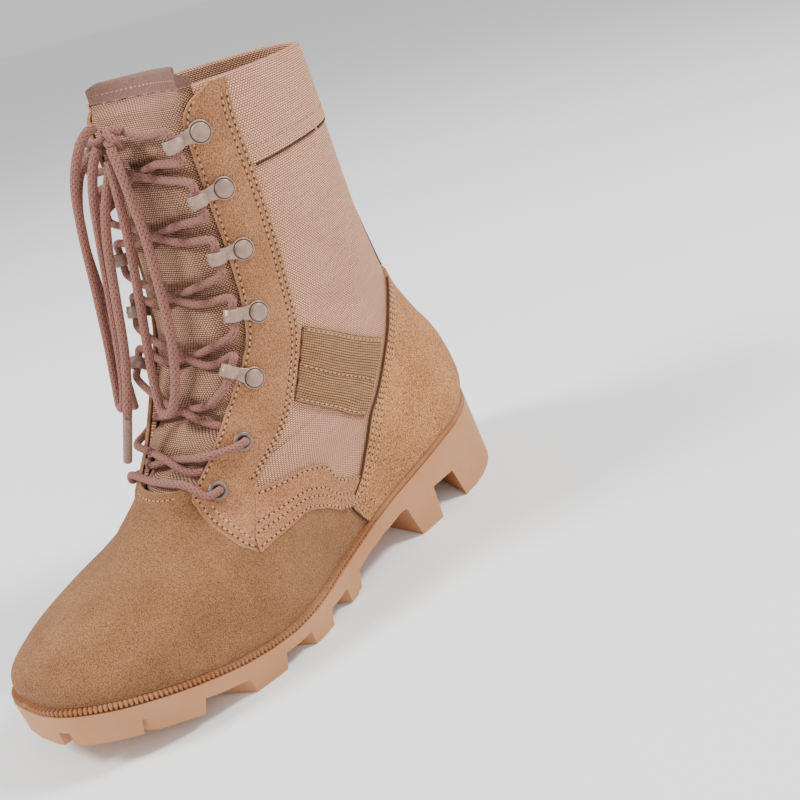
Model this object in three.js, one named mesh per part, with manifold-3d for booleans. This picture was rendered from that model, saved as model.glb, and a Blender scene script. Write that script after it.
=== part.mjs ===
// A left lace-up combat boot, millimetres, +Z up, toe toward -Y, outer side of the foot toward +X.
// Lengths along the foot are given as s, measured forward from the back of the heel at sole height.
import * as THREE from "three";
import { mergeVertices } from "three/addons/utils/BufferGeometryUtils.js";
import Module from "manifold-3d";

const wasm = await Module();
wasm.setup();

// Rows of numbers under named columns.
function table(names, rows) {
  return rows.map((row) => Object.fromEntries(names.map((name, i) => [name, row[i]])));
}

// ---- driving dimensions -------------------------------------------------------------------------
const SOLE_LENGTH = 300;
const HEEL_OVERHANG = 6; // how far the heel block reaches behind the seat
const ORIGIN_S = (SOLE_LENGTH - HEEL_OVERHANG) / 2; // the origin lies halfway along the whole sole
const FOOT_AXIS = -2.7; // the heel's middle line lies this far from the middle of the whole boot
const GAP = 0.3; // between pieces that touch
const LEDGE = 3.5; // sole edge that shows around the upper
const WALL = 2.2; // upper leather and canvas
const OVERLAY = 1.6; // suede and webbing sewn on the upper
const SEAT = 0.75; // their undersides clear the facets of the wall below
const WELT_HEIGHT = 2.6;
const WELT_WIDTH = 7.2;
const INSOLE_THICKNESS = 4;
const THROAT_V = 0.458; // level of the foot of the throat

// Half-widths of the sole, t from heel to toe, before its ends are rounded.
const SOLE_ROUND = 0.7;
const TOE_SWING = -5; // the toe tip lies inward of the heel's centre line
const SOLE = table(
  ["t", "lateral", "medial"],
  [
    [0.0, 48, 48],
    [0.1, 50, 50],
    [0.2, 46.5, 46],
    [0.35, 43.8, 36.5],
    [0.5, 48, 35.5],
    [0.65, 57, 46],
    [0.8, 59, 54.5],
    [0.92, 60, 53],
    [1.0, 56, 49],
  ],
);

// Heights along the sole: its top edge, the web between the lugs, and the foot of the lugs.
const PROFILE = table(
  ["s", "top", "web", "tread"],
  [
    [-4, 44.6, 17.7, 0],
    [40, 40.2, 17.7, 0],
    [80, 34.6, 18.4, 0],
    [98, 32, 19.4, 0],
    [120, 28.3, 16.6, 8],
    [142, 24.2, 12.8, 3.2],
    [160, 20.8, 9, 0.5],
    [174, 18.6, 8.2, 0],
    [200, 17, 8, 0],
    [225, 19, 8.4, 0],
    [240, 21.9, 11, 2.6],
    [255, 25.2, 15, 7.2],
    [270, 28.8, 18.2, 10.8],
    [285, 32, 20.8, 13.6],
    [300, 34.8, 23, 15.8],
  ],
);

// How far the side of the sole stands out at its foot, along the sole.
const FLARE = table(
  ["s", "foot"],
  [
    [0, HEEL_OVERHANG],
    [90, 3.5],
    [130, 0],
    [300, -1.5],
  ],
);

// Level lines of the upper, from the feather edge up to the collar. Each joins a front point on the
// toe, vamp or shin to a back point on the heel, with half-widths at four stations along that chord.
const STATIONS = [0.1, 0.4, 0.7, 0.93];
const LEVELS = table(
  [
    "frontS", "frontZ", "backS", "backZ", "heel", "waist", "ball", "toe", "inWaist", "inBall", "round",
    "backRound",
  ],
  [
    [290, 34, 5, 43, 46, 41.5, 55, 55, 33.5, 44, 0.7, 0.7],
    [293, 41, 2, 54, 47, 43, 54, 53, 36, 44, 0.72, 0.72],
    [288, 48, 1.5, 65, 45, 44, 52, 48, 38, 42, 0.78, 0.78],
    [277, 54, 3.5, 76, 42, 43.5, 49, 42, 39, 40, 0.84, 0.85],
    [260, 59, 8, 87, 38, 42, 46.5, 37, 39, 38, 0.88, 0.92],
    [241, 65, 14.5, 97, 36, 40, 44.5, 35, 38.5, 38, 0.88, 1],
    [220, 76.5, 21.5, 108, 35, 38, 43, 36.5, 38, 39, 0.86, 1],
    [203, 93, 28.5, 120, 34.5, 37.5, 42.5, 39, 38, 40.5, 0.8, 1],
    [188.5, 114, 33.5, 135, 34, 37, 42.5, 42, 38.5, 41, 0.74, 1],
    [176.5, 135, 38, 152, 34, 37, 43, 44, 39, 41.5, 0.7, 1],
    [167.5, 157, 42.5, 171, 34.5, 37.5, 43, 45, 39.5, 42, 0.66, 1],
    [162, 180, 46, 192, 35.5, 38, 43.5, 46, 40.5, 43, 0.63, 1],
    [160, 208, 49, 215, 36, 38.5, 44, 47.5, 41.5, 44.5, 0.62, 1],
    [161, 236, 52, 240, 36, 39, 44.5, 48, 42, 46, 0.62, 1],
    [162, 252, 54, 254, 36, 39, 44.5, 48, 42, 46, 0.62, 1],
  ],
);
const FEATHER_FADE = 0.22; // level above which the feather edge no longer bends the wall
const RING_STEPS = 40;
const LEVEL_STEPS = 16;

// ---- curves through the tables ------------------------------------------------------------------
// A smooth curve through one column of a table, with no overshoot between its rows.
function column(table, key, name) {
  const x = table.map((row) => row[key]);
  const y = table.map((row) => row[name]);
  const slope = x.slice(1).map((value, i) => (y[i + 1] - y[i]) / (value - x[i]));
  const tangent = x.map((_, i) => {
    if (i === 0) return slope[0];
    if (i === x.length - 1) return slope[i - 1];
    const product = slope[i - 1] * slope[i];
    return product <= 0 ? 0 : (2 * product) / (slope[i - 1] + slope[i]);
  });
  return (at) => {
    const clamped = Math.min(Math.max(at, x[0]), x[x.length - 1]);
    let i = 0;
    while (i < x.length - 2 && clamped > x[i + 1]) i += 1;
    const step = x[i + 1] - x[i];
    const u = (clamped - x[i]) / step;
    return (
      y[i] * (1 + 2 * u) * (1 - u) ** 2 +
      y[i + 1] * u * u * (3 - 2 * u) +
      step * tangent[i] * u * (1 - u) ** 2 -
      step * tangent[i + 1] * u * u * (1 - u)
    );
  };
}

const soleLateral = column(SOLE, "t", "lateral");
const soleMedial = column(SOLE, "t", "medial");
const topZ = column(PROFILE, "s", "top");
const webZ = column(PROFILE, "s", "web");
const treadZ = column(PROFILE, "s", "tread");
const flareAt = column(FLARE, "s", "foot");
const yOf = (s) => ORIGIN_S - s;
const sOf = (y) => ORIGIN_S - y;

// ---- sole outline -------------------------------------------------------------------------------
// Plan point of the sole's edge: angle 0 at the back, a half turn at the toe, outer side first.
function outlineRaw(angle) {
  const t = (1 - Math.cos(angle)) / 2;
  const side = Math.sin(angle);
  const width = side >= 0 ? soleLateral(t) : soleMedial(t);
  const swing = TOE_SWING * Math.max(0, 2 * t - 1) ** 2;
  return new THREE.Vector2(swing + Math.sign(side) * width * Math.abs(side) ** SOLE_ROUND, SOLE_LENGTH * t);
}

// The same point moved in by inset, square to the edge.
function outline(angle, inset = 0) {
  const point = outlineRaw(angle);
  if (inset === 0) return point;
  const step = 0.02;
  const along = outlineRaw(angle + step).sub(outlineRaw(angle - step)).normalize();
  return new THREE.Vector2(point.x - inset * along.y, point.y + inset * along.x);
}

// ---- the upper's own form -----------------------------------------------------------------------
const levelIndex = LEVELS.map((row, i) => ({ ...row, v: i / (LEVELS.length - 1) }));
const LEVEL_NAMES = Object.keys(LEVELS[0]);
const levelCurves = Object.fromEntries(LEVEL_NAMES.map((name) => [name, column(levelIndex, "v", name)]));
const levelCache = new Map();

// The sizes of the level line at v, with the half-width curves of its two sides.
function level(v) {
  const key = v.toFixed(5);
  if (!levelCache.has(key)) {
    const row = Object.fromEntries(LEVEL_NAMES.map((name) => [name, levelCurves[name](v)]));
    const side = (names) => column(STATIONS.map((t, i) => ({ t, width: row[names[i]] })), "t", "width");
    row.lateral = side(["heel", "waist", "ball", "toe"]);
    row.medial = side(["heel", "inWaist", "inBall", "toe"]);
    row.swing = TOE_SWING * Math.max(0, 1 - v / THROAT_V);
    levelCache.set(key, row);
  }
  return levelCache.get(key);
}

function levelPoint(v, angle) {
  const row = level(v);
  const t = (1 - Math.cos(angle)) / 2;
  const side = Math.sin(angle);
  const round = row.backRound + (row.round - row.backRound) * t;
  const width = (side >= 0 ? row.lateral(t) : row.medial(t)) * Math.abs(side) ** round;
  return new THREE.Vector3(
    row.swing * Math.max(0, 2 * t - 1) ** 2 + Math.sign(side) * width,
    yOf(row.backS + (row.frontS - row.backS) * t),
    row.backZ + (row.frontZ - row.backZ) * t,
  );
}

// Where the upper meets the top of the welt.
function featherPoint(angle) {
  const edge = outline(angle, LEDGE);
  return new THREE.Vector3(edge.x, yOf(edge.y), topZ(edge.y) + GAP);
}

// Outer skin of the upper: v climbs from the feather edge to the collar, angle turns round the leg.
function skin(v, angle) {
  const point = levelPoint(v, angle);
  const fade = Math.max(0, 1 - v / FEATHER_FADE) ** 2;
  if (fade > 0) point.addScaledVector(featherPoint(angle).sub(levelPoint(0, angle)), fade);
  return point;
}

// A point off the skin, outward by offset. Both rims keep their own height.
function form(v, angle, offset = 0) {
  const point = skin(v, angle);
  if (offset === 0) return point;
  const dv = 0.004;
  const da = 0.02;
  const up = skin(Math.min(v + dv, 1), angle).sub(skin(Math.max(v - dv, 0), angle));
  const round = skin(v, angle + da).sub(skin(v, angle - da));
  const normal = up.cross(round);
  if (v <= 0 || v >= 1) normal.z = 0;
  return point.addScaledVector(normal.normalize(), offset);
}

// The angle that lies arc millimetres from the front (or back) line of the level at v, outer side positive.
const ARC_STEPS = 360;
const arcCache = new Map();
function arcs(v, back) {
  const key = v.toFixed(5) + back;
  if (!arcCache.has(key)) {
    const start = back ? 0 : Math.PI;
    const walk = (turn) => {
      let length = 0;
      let last = skin(v, start);
      const list = [0];
      for (let i = 1; i <= ARC_STEPS; i += 1) {
        const next = skin(v, start + (turn * Math.PI * i) / ARC_STEPS);
        length += next.distanceTo(last);
        list.push(length);
        last = next;
      }
      return list;
    };
    arcCache.set(key, { start, lateral: walk(back ? 1 : -1), medial: walk(back ? -1 : 1) });
  }
  return arcCache.get(key);
}

function angleAt(v, arc, back = false) {
  const found = arcs(v, back);
  const list = arc >= 0 ? found.lateral : found.medial;
  const length = Math.min(Math.abs(arc), list[ARC_STEPS]);
  let i = 1;
  while (i < ARC_STEPS && list[i] < length) i += 1;
  const part = (i - 1 + (length - list[i - 1]) / (list[i] - list[i - 1])) / ARC_STEPS;
  const turn = (arc >= 0) === back ? 1 : -1;
  return found.start + turn * Math.PI * part;
}

// ---- solids from skins --------------------------------------------------------------------------
// A closed geometry from triangles, turned so that its faces point out.
function closedGeometry(points, triangles) {
  let volume = 0;
  for (const [a, b, c] of triangles) volume += points[a].dot(points[b].clone().cross(points[c]));
  const geometry = new THREE.BufferGeometry().setFromPoints(points);
  const turned = volume < 0 ? triangles.map(([a, b, c]) => [a, c, b]) : triangles;
  geometry.setIndex(turned.flat());
  return geometry;
}

function quad(list, a, b, c, d) {
  list.push([a, b, c], [a, c, d]);
}

// A plate between two skins, inner and outer, each a function of (u, w) in 0..1. With loop, u closes.
function plate(inner, outer, uSteps, wSteps, loop = false) {
  const uCount = loop ? uSteps : uSteps + 1;
  const points = [];
  for (const surface of [inner, outer])
    for (let j = 0; j <= wSteps; j += 1)
      for (let i = 0; i < uCount; i += 1) points.push(surface(i / uSteps, j / wSteps));
  const skinSize = uCount * (wSteps + 1);
  const at = (which, i, j) => which * skinSize + j * uCount + (i % uCount);
  const faces = [];
  for (let j = 0; j < wSteps; j += 1)
    for (let i = 0; i < uSteps; i += 1) {
      quad(faces, at(0, i, j), at(0, i, j + 1), at(0, i + 1, j + 1), at(0, i + 1, j));
      quad(faces, at(1, i, j), at(1, i + 1, j), at(1, i + 1, j + 1), at(1, i, j + 1));
    }
  for (let i = 0; i < uSteps; i += 1) {
    quad(faces, at(0, i, 0), at(0, i + 1, 0), at(1, i + 1, 0), at(1, i, 0));
    quad(faces, at(0, i, wSteps), at(1, i, wSteps), at(1, i + 1, wSteps), at(0, i + 1, wSteps));
  }
  if (!loop)
    for (let j = 0; j < wSteps; j += 1) {
      quad(faces, at(0, 0, j), at(1, 0, j), at(1, 0, j + 1), at(0, 0, j + 1));
      quad(faces, at(0, uSteps, j), at(0, uSteps, j + 1), at(1, uSteps, j + 1), at(1, uSteps, j));
    }
  return closedGeometry(points, faces);
}

// A slab with the sole's outline, between two heights that vary along the foot.
const OUTLINE_STEPS = 60;
function slab(inset, top, bottom, bottomInset = inset) {
  const points = [];
  for (const [height, move] of [[bottom, bottomInset], [top, inset]])
    for (let i = 0; i < OUTLINE_STEPS; i += 1) {
      const angle = (2 * Math.PI * i) / OUTLINE_STEPS;
      const edge = outline(angle, typeof move === "function" ? move(outlineRaw(angle).y) : move);
      points.push(new THREE.Vector3(edge.x, yOf(edge.y), height(edge.y)));
    }
  const faces = [];
  const at = (which, i) => which * OUTLINE_STEPS + ((i + OUTLINE_STEPS) % OUTLINE_STEPS);
  for (let i = 0; i < OUTLINE_STEPS; i += 1) quad(faces, at(0, i), at(0, i + 1), at(1, i + 1), at(1, i));
  const half = OUTLINE_STEPS / 2;
  for (const [which, turn] of [[1, 1], [0, -1]]) {
    const face = (...corners) => quad(faces, ...(turn > 0 ? corners : corners.reverse()));
    for (let i = 1; i < half - 1; i += 1) {
      face(at(which, i), at(which, i + 1), at(which, -i - 1), at(which, -i));
    }
    const tips = [
      [at(which, 0), at(which, 1), at(which, -1)],
      [at(which, half - 1), at(which, half), at(which, -half + 1)],
    ];
    for (const tip of tips) faces.push(turn > 0 ? tip : tip.reverse());
  }
  return closedGeometry(points, faces);
}

// ---- joining and cutting ------------------------------------------------------------------------
function toSolid(geometry) {
  const bare = new THREE.BufferGeometry().setAttribute("position", geometry.getAttribute("position"));
  bare.setIndex(geometry.getIndex());
  const merged = mergeVertices(bare.index ? bare.toNonIndexed() : bare, 1e-4);
  return new wasm.Manifold(
    new wasm.Mesh({
      numProp: 3,
      vertProperties: merged.attributes.position.array,
      triVerts: new Uint32Array(merged.index.array),
    }),
  );
}

function toGeometry(solid) {
  const mesh = solid.getMesh();
  const geometry = new THREE.BufferGeometry();
  geometry.setAttribute("position", new THREE.BufferAttribute(mesh.vertProperties, mesh.numProp));
  geometry.setIndex(new THREE.BufferAttribute(mesh.triVerts, 1));
  return geometry;
}

function joined(geometries) {
  return geometries.map(toSolid).reduce((all, one) => all.add(one));
}

const LUG_DRAFT = 3.2;

// ---- outsole ------------------------------------------------------------------------------------
// A block whose foot has the plan given by corners [x, s, draft]; each side leans out by its draft.
function block(corners, low, high, draftOf = (corner) => corner[2] ?? LUG_DRAFT) {
  const count = corners.length;
  const foot = corners.map(([x, s]) => new THREE.Vector2(x, s));
  const clockwise = THREE.ShapeUtils.isClockWise(foot);
  const edges = foot.map((point, i) => {
    const along = foot[(i + 1) % count].clone().sub(point).normalize();
    const out = clockwise ? new THREE.Vector2(-along.y, along.x) : new THREE.Vector2(along.y, -along.x);
    return { point: point.clone().addScaledVector(out, draftOf(corners[i])), along };
  });
  const root = edges.map((edge, i) => {
    const before = edges[(i + count - 1) % count];
    const gap = edge.point.clone().sub(before.point);
    const reach = gap.cross(edge.along) / before.along.cross(edge.along);
    return before.point.clone().addScaledVector(before.along, reach);
  });
  const points = [
    ...foot.map((p) => new THREE.Vector3(p.x, yOf(p.y), low)),
    ...root.map((p) => new THREE.Vector3(p.x, yOf(p.y), high)),
  ];
  const faces = [];
  for (const [a, b, c] of THREE.ShapeUtils.triangulateShape(foot, [])) {
    faces.push([a, b, c], [a + count, c + count, b + count]);
  }
  for (let i = 0; i < count; i += 1) {
    const j = (i + 1) % count;
    if (clockwise) quad(faces, i, j, j + count, i + count);
    else quad(faces, j, i, i + count, j + count);
  }
  return closedGeometry(points, faces);
}

const LUG_TOP = 40; // blocks are cut off inside the sole
const SOLE_BELOW = -1;
const BAND_SLANT = 0.55; // forward run of a tread band for each millimetre toward the inner side
const OUTER_EDGE = 70;
const BAR_HALF = 19;
const BAR_RAISED = 1.4;
const BANDS = table(
  ["start", "end", "outer", "bar", "inner"],
  [
    [112, 123, 0, 0, 1],
    [144.7, 154.3, 1, 1, 1],
    [174, 189, 1, 1, 1],
    [208.8, 224.9, 1, 1, 1],
    [247.7, 260, 1, 1, 0],
  ],
);
const EDGE_LUG_IN = 27; // where the edge lugs end toward the middle
const BAND_AT = 50; // a band's start and end are measured on the outer edge

// Plan of the piece of a tread band between two distances from the middle.
function bandPlan(band, from, to) {
  const shift = (x) => BAND_SLANT * (BAND_AT - x);
  return [
    [from, band.start + shift(from)],
    [to, band.start + shift(to)],
    [to, band.end + shift(to)],
    [from, band.end + shift(from)],
  ];
}

const HEEL_DRAFT = 6;
const HEEL_PLAN = {
  rear: [
    [OUTER_EDGE, -20, 0], [OUTER_EDGE, 60, HEEL_DRAFT], [0, 33, HEEL_DRAFT], [-OUTER_EDGE, 60, 0],
    [-OUTER_EDGE, -20, 0],
  ],
  front: [
    [OUTER_EDGE, 82, 0], [0, 60, 0], [-OUTER_EDGE, 82, 0], [-OUTER_EDGE, 92, HEEL_DRAFT], [OUTER_EDGE, 92, 0],
  ],
};
const TOE_PLAN = {
  middle: [[-16, 276, 2], [8, 276, 2], [10, 310, 2], [-20, 310, 2]],
  outer: [[15, 279], [44, 273], [60, 310], [19, 310]],
  inner: [[-24, 281], [-34, 275], [-70, 310], [-28, 310]],
};

function soleTop(s) {
  return topZ(s) - WELT_HEIGHT - GAP;
}

function makeOutsole() {
  const full = toSolid(slab(0, soleTop, treadZ, (s) => -flareAt(s)));
  const aboveWeb = toSolid(slab(-15, () => LUG_TOP + 20, webZ));
  const blocks = Object.values(HEEL_PLAN).map((plan) => block(plan, SOLE_BELOW, LUG_TOP / 2));
  blocks.push(...Object.values(TOE_PLAN).map((plan) => block(plan, SOLE_BELOW, LUG_TOP)));
  const bars = [];
  for (const band of BANDS) {
    if (band.outer) blocks.push(block(bandPlan(band, EDGE_LUG_IN, OUTER_EDGE), SOLE_BELOW, LUG_TOP / 2));
    if (band.inner) blocks.push(block(bandPlan(band, -OUTER_EDGE, -EDGE_LUG_IN), SOLE_BELOW, LUG_TOP / 2));
    if (band.bar) bars.push(block(bandPlan(band, -BAR_HALF, BAR_HALF), SOLE_BELOW, LUG_TOP / 2));
  }
  const aboveBars = toSolid(slab(-15, () => LUG_TOP, (s) => treadZ(s) + BAR_RAISED));
  const tread = joined(blocks).add(joined(bars).intersect(aboveBars));
  return toGeometry(full.intersect(aboveWeb.add(tread)));
}

function makeWelt() {
  const ring = (inset) => (u, w) => {
    const edge = outline(2 * Math.PI * u, inset);
    return new THREE.Vector3(edge.x, yOf(edge.y), topZ(edge.y) - WELT_HEIGHT * (1 - w));
  };
  return plate(ring(WELT_WIDTH), ring(0.3), OUTLINE_STEPS, 1, true);
}

function makeInsole() {
  const inset = WELT_WIDTH + 2 * GAP;
  return slab(inset, (s) => soleTop(s) + GAP + INSOLE_THICKNESS, (s) => soleTop(s) + GAP);
}

// ---- upper --------------------------------------------------------------------------------------
const FACING = table(
  ["v", "front", "back"],
  [
    [0.37, 48, 60],
    [0.42, 31, 61],
    [0.458, 23.5, 64],
    [0.5, 27, 69],
    [0.575, 33.5, 70],
    [0.625, 38.2, 69],
    [0.665, 40.2, 66.3],
    [0.717, 38.4, 62.4],
    [0.773, 36.1, 59.7],
    [0.866, 33.8, 57],
    [0.93, 34.2, 56.5],
    [0.965, 38, 57.5],
    [1, 50, 58.5],
  ],
);
const facingFront = column(FACING, "v", "front");
const facingBack = column(FACING, "v", "back");
const THROAT_STEPS = 14;
const CUT_DEPTH = 9;
const CUT_ABOVE = 12;
const EYELET_BORE = 3.3; // hole through the facing and the wall
const HOLE_DEPTH = 16;

// A frame on the facing: where it is, the direction out of the leather, and the way round to the front.
function facingFrame(v, arc, side) {
  const angle = angleAt(v, side * arc);
  const place = form(v, angle, SEAT + OVERLAY);
  const out = form(v, angle, SEAT + OVERLAY + 1).sub(place).normalize();
  const inward = form(v, angleAt(v, side * (arc - 1)), SEAT + OVERLAY).sub(place);
  inward.addScaledVector(out, -inward.dot(out)).normalize();
  const up = new THREE.Vector3().crossVectors(out, inward).multiplyScalar(-side);
  return { place, out, inward, up };
}

function makeUpper() {
  const ring = (offset) => (u, w) => form(w, 2 * Math.PI * u, offset);
  const wall = toSolid(plate(ring(-WALL), ring(0), RING_STEPS, LEVEL_STEPS, true));
  const cut = (offset) => (u, w) => {
    const v = THROAT_V + (1 - THROAT_V) * w;
    const point = form(v, angleAt(v, facingFront(v) * (2 * u - 1)), offset);
    if (w === 1) point.z += CUT_ABOVE;
    return point;
  };
  const throat = toSolid(plate(cut(-CUT_DEPTH), cut(CUT_DEPTH), 4, THROAT_STEPS));
  return toGeometry(eyeletHoles().reduce((solid, hole) => solid.subtract(hole), wall.subtract(throat)));
}

function makeFacing(side) {
  const strip = (offset) => (u, w) => {
    const v = FACING[0].v + (1 - FACING[0].v) * w;
    const front = facingFront(v);
    return form(v, angleAt(v, side * (front + (facingBack(v) - front) * u)), offset);
  };
  const leather = toSolid(plate(strip(SEAT), strip(SEAT + OVERLAY), 3, 18));
  return toGeometry(eyeletHoles().reduce((solid, hole) => solid.subtract(hole), leather));
}

// ---- overlays sewn on the upper -------------------------------------------------------------------
// A sheet of even thickness all round the upper, cut to the outline that region gives from below.
function overlay(region, thickness, uSteps, wSteps) {
  const ring = (offset) => (u, w) => form(w, 2 * Math.PI * u, offset);
  const sheet = toSolid(plate(ring(GAP), ring(GAP + thickness), RING_STEPS, LEVEL_STEPS, true));
  const cutter = (offset) => (u, w) => {
    const { v, arc, back } = region(u, w);
    const point = form(v, angleAt(v, arc, back), offset);
    if (v === 0) point.z -= 1;
    return point;
  };
  return toGeometry(sheet.intersect(toSolid(plate(cutter(-2.5), cutter(5), uSteps, wSteps))));
}

// Heel counter: how far its front edge lies from the back seam, level by level.
const COUNTER = table(
  ["v", "reach"],
  [
    [0, 141],
    [0.037, 148],
    [0.075, 153],
    [0.126, 141],
    [0.185, 130],
    [0.29, 108],
    [0.334, 93],
    [0.415, 67],
    [0.464, 51],
    [0.51, 36],
    [0.545, 20],
  ],
);
const counterReach = column(COUNTER, "v", "reach");
const COUNTER_TOP = COUNTER[COUNTER.length - 1].v;

function makeCounter() {
  const region = (u, w) => {
    const v = COUNTER_TOP * w;
    return { v, arc: counterReach(v) * (2 * u - 1), back: true };
  };
  return overlay(region, OVERLAY, 20, 12);
}

// Saddle: an arched band from the vamp seam back to the counter, its lower and upper edge.
const SADDLE = table(
  ["u", "lowV", "lowArc", "highV", "highArc"],
  [
    [0, 0.174, 108, 0.395, 66],
    [0.25, 0.179, 118.5, 0.372, 84],
    [0.5, 0.18, 135, 0.345, 104],
    [0.75, 0.144, 156, 0.275, 137],
    [1, 0.085, 176, 0.16, 176],
  ],
);
const saddle = Object.fromEntries(
  ["lowV", "lowArc", "highV", "highArc"].map((name) => [name, column(SADDLE, "u", name)]),
);

function makeSaddle(side) {
  const region = (u, w) => ({
    v: saddle.lowV(u) + (saddle.highV(u) - saddle.lowV(u)) * w,
    arc: side * (saddle.lowArc(u) + (saddle.highArc(u) - saddle.lowArc(u)) * w),
  });
  return overlay(region, OVERLAY * 0.8, 10, 3);
}

// Webbing band over the ankle, from the facing back to the counter: level and arc at its four corners.
const ANKLE_BAND = {
  frontHigh: [0.628, 73],
  frontLow: [0.52, 72.5],
  backHigh: [0.462, 158],
  backLow: [0.305, 166],
};
const WEBBING = 1.3;

function makeAnkleBand(side) {
  const { frontHigh, frontLow, backHigh, backLow } = ANKLE_BAND;
  const low = (i, u) => frontLow[i] * (1 - u) + backLow[i] * u;
  const high = (i, u) => frontHigh[i] * (1 - u) + backHigh[i] * u;
  const mix = (i, u, w) => low(i, u) * (1 - w) + high(i, u) * w;
  const region = (u, w) => ({ v: mix(0, u, w), arc: side * mix(1, u, w) });
  return overlay(region, WEBBING, 8, 3);
}

const BACKSTAY = { half: 9, low: COUNTER_TOP + 0.006, high: 0.87 };

function makeBackstay() {
  const region = (u, w) => ({
    v: BACKSTAY.low + (BACKSTAY.high - BACKSTAY.low) * w,
    arc: BACKSTAY.half * (2 * u - 1),
    back: true,
  });
  return overlay(region, WEBBING, 4, 10);
}

// ---- lacing hardware ----------------------------------------------------------------------------
const EYELETS = table(["v", "arc"], [[0.441, 38.2], [0.509, 43.8]]);
const HOOKS = table(
  ["v", "arc", "twist"],
  [
    [0.598, 44.7, 42],
    [0.691, 45.7, 20],
    [0.784, 42.3, 8],
    [0.857, 41.2, -2],
    [0.921, 39.8, -6],
  ],
);
const SIDES = { outer: 1, inner: -1 };

function eyeletHoles() {
  return Object.values(SIDES).flatMap((side) =>
    EYELETS.map(({ v, arc }) => {
      const { place, out } = facingFrame(v, arc, side);
      const drill = new THREE.CylinderGeometry(EYELET_BORE, EYELET_BORE, HOLE_DEPTH, 10);
      drill.applyQuaternion(new THREE.Quaternion().setFromUnitVectors(new THREE.Vector3(0, 1, 0), out));
      drill.translate(place.x, place.y, place.z);
      return toSolid(drill);
    }),
  );
}

// Half of an eyelet's section, from its bore outward: a rolled flange over a short barrel.
const EYELET = { bore: 2.4, barrel: 2.95, flange: 4.65, height: 1.7, sink: 3.2 };

function makeEyelet() {
  const { bore, barrel, flange, height, sink } = EYELET;
  const section = [
    [bore, -sink], [barrel, -sink], [barrel, 2 * GAP], [flange, 2 * GAP], [flange - 0.7, height],
    [bore, height], [bore, -sink],
  ];
  const geometry = new THREE.LatheGeometry(section.map(([x, y]) => new THREE.Vector2(x, y)), 10);
  return toGeometry(toSolid(geometry.rotateX(Math.PI / 2)));
}

// A speed hook: a strap folded round to a loop, held by a domed rivet. It points along +X, out along +Z.
const HOOK = {
  plate: 5.2,
  thick: 1,
  width: 5.8,
  loopAt: 12.6,
  loopLift: 3.4,
  tip: 17,
  rise: 6.9,
  rivet: 4.7,
  dome: 2.2,
};

function makeHook() {
  const { plate: radius, thick, width, tip, rise, rivet, dome } = HOOK;
  const strap = new THREE.Shape();
  strap.moveTo(2.5, 0);
  strap.lineTo(tip - 2.2, 0);
  strap.absarc(tip - rise / 2, rise / 2, rise / 2, -Math.PI / 2.6, Math.PI / 1.8, false);
  strap.lineTo(4.5, thick + 1.2);
  strap.lineTo(2.5, thick);
  const hole = new THREE.Path();
  hole.moveTo(8, thick + 0.2);
  hole.lineTo(8.6, thick + 1.7);
  hole.lineTo(tip - rise / 2 - 0.4, rise - thick);
  hole.absarc(tip - rise / 2, rise / 2, rise / 2 - thick, Math.PI / 2, -Math.PI / 2, true);
  strap.holes.push(hole);
  const band = new THREE.ExtrudeGeometry(strap, { depth: width, bevelEnabled: false, curveSegments: 3 });
  band.translate(0, 0, -width / 2).rotateX(Math.PI / 2);
  const head = [
    [0, 0], [radius, 0], [radius, thick], [rivet, thick], [rivet * 0.8, thick + dome * 0.75],
    [0, thick + dome],
  ];
  const cap = new THREE.LatheGeometry(head.map(([x, y]) => new THREE.Vector2(x, y)), 10).rotateX(Math.PI / 2);
  return toGeometry(joined([band, cap]));
}

// The frame of a hook turned by its twist, and the middle of its loop.
function hookFrame({ v, arc, twist }, side) {
  const frame = facingFrame(v, arc, side);
  const turn = (twist * Math.PI) / 180;
  const along = frame.inward.clone().multiplyScalar(Math.cos(turn)).addScaledVector(frame.up, Math.sin(turn));
  const up = frame.up.clone().multiplyScalar(Math.cos(turn)).addScaledVector(frame.inward, -Math.sin(turn));
  const seat = frame.place.clone().addScaledVector(frame.out, GAP);
  const loop = seat.clone().addScaledVector(along, HOOK.loopAt).addScaledVector(frame.out, HOOK.loopLift);
  return { along, out: frame.out, up, seat, loop };
}

// ---- tongue -------------------------------------------------------------------------------------
const TONGUE_THICKNESS = 3;
const TONGUE_GAP = 0.8; // behind the wall
const TONGUE_TUCK = 10; // how far its edges reach behind the facings
const TONGUE_RISE = 225; // height of one unit of v near the collar
const TONGUE = table(
  ["v", "depth"],
  [
    [0.42, 0.6],
    [0.458, 1.6],
    [0.5, 6],
    [0.56, 11],
    [0.62, 12],
    [0.68, 8],
    [0.75, 3.4],
    [0.82, 1.4],
    [0.9, 2.6],
    [0.96, 11.5],
    [1.04, 24],
  ],
);
const TONGUE_TRIM_V = 1.0;
const tongueDepth = column(TONGUE, "v", "depth");

// A point of the tongue's face: above v = 1 it rises straight on past the collar.
function tonguePoint(v, arc, offset = 0) {
  const ring = Math.min(v, 1);
  const reach = Math.max(facingFront(Math.min(ring, 0.93)), 24);
  const q = Math.min(1, Math.abs(arc) / (reach + 3));
  const point = form(ring, angleAt(ring, arc), -(WALL + TONGUE_GAP) + offset);
  point.y += tongueDepth(v) * (1 - q * q);
  point.z += Math.max(0, v - 1) * TONGUE_RISE;
  return point;
}

function tongueHalf(v) {
  return Math.max(facingFront(Math.min(v, 0.93)), 24) + TONGUE_TUCK;
}

function makeTonguePiece(from, to, outset, uSteps, wSteps) {
  const face = (offset) => (u, w) => {
    const v = from + (to - from) * w;
    return tonguePoint(v, tongueHalf(v) * (2 * u - 1), offset);
  };
  return plate(face(-TONGUE_THICKNESS - outset), face(outset), uSteps, wSteps);
}

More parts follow.
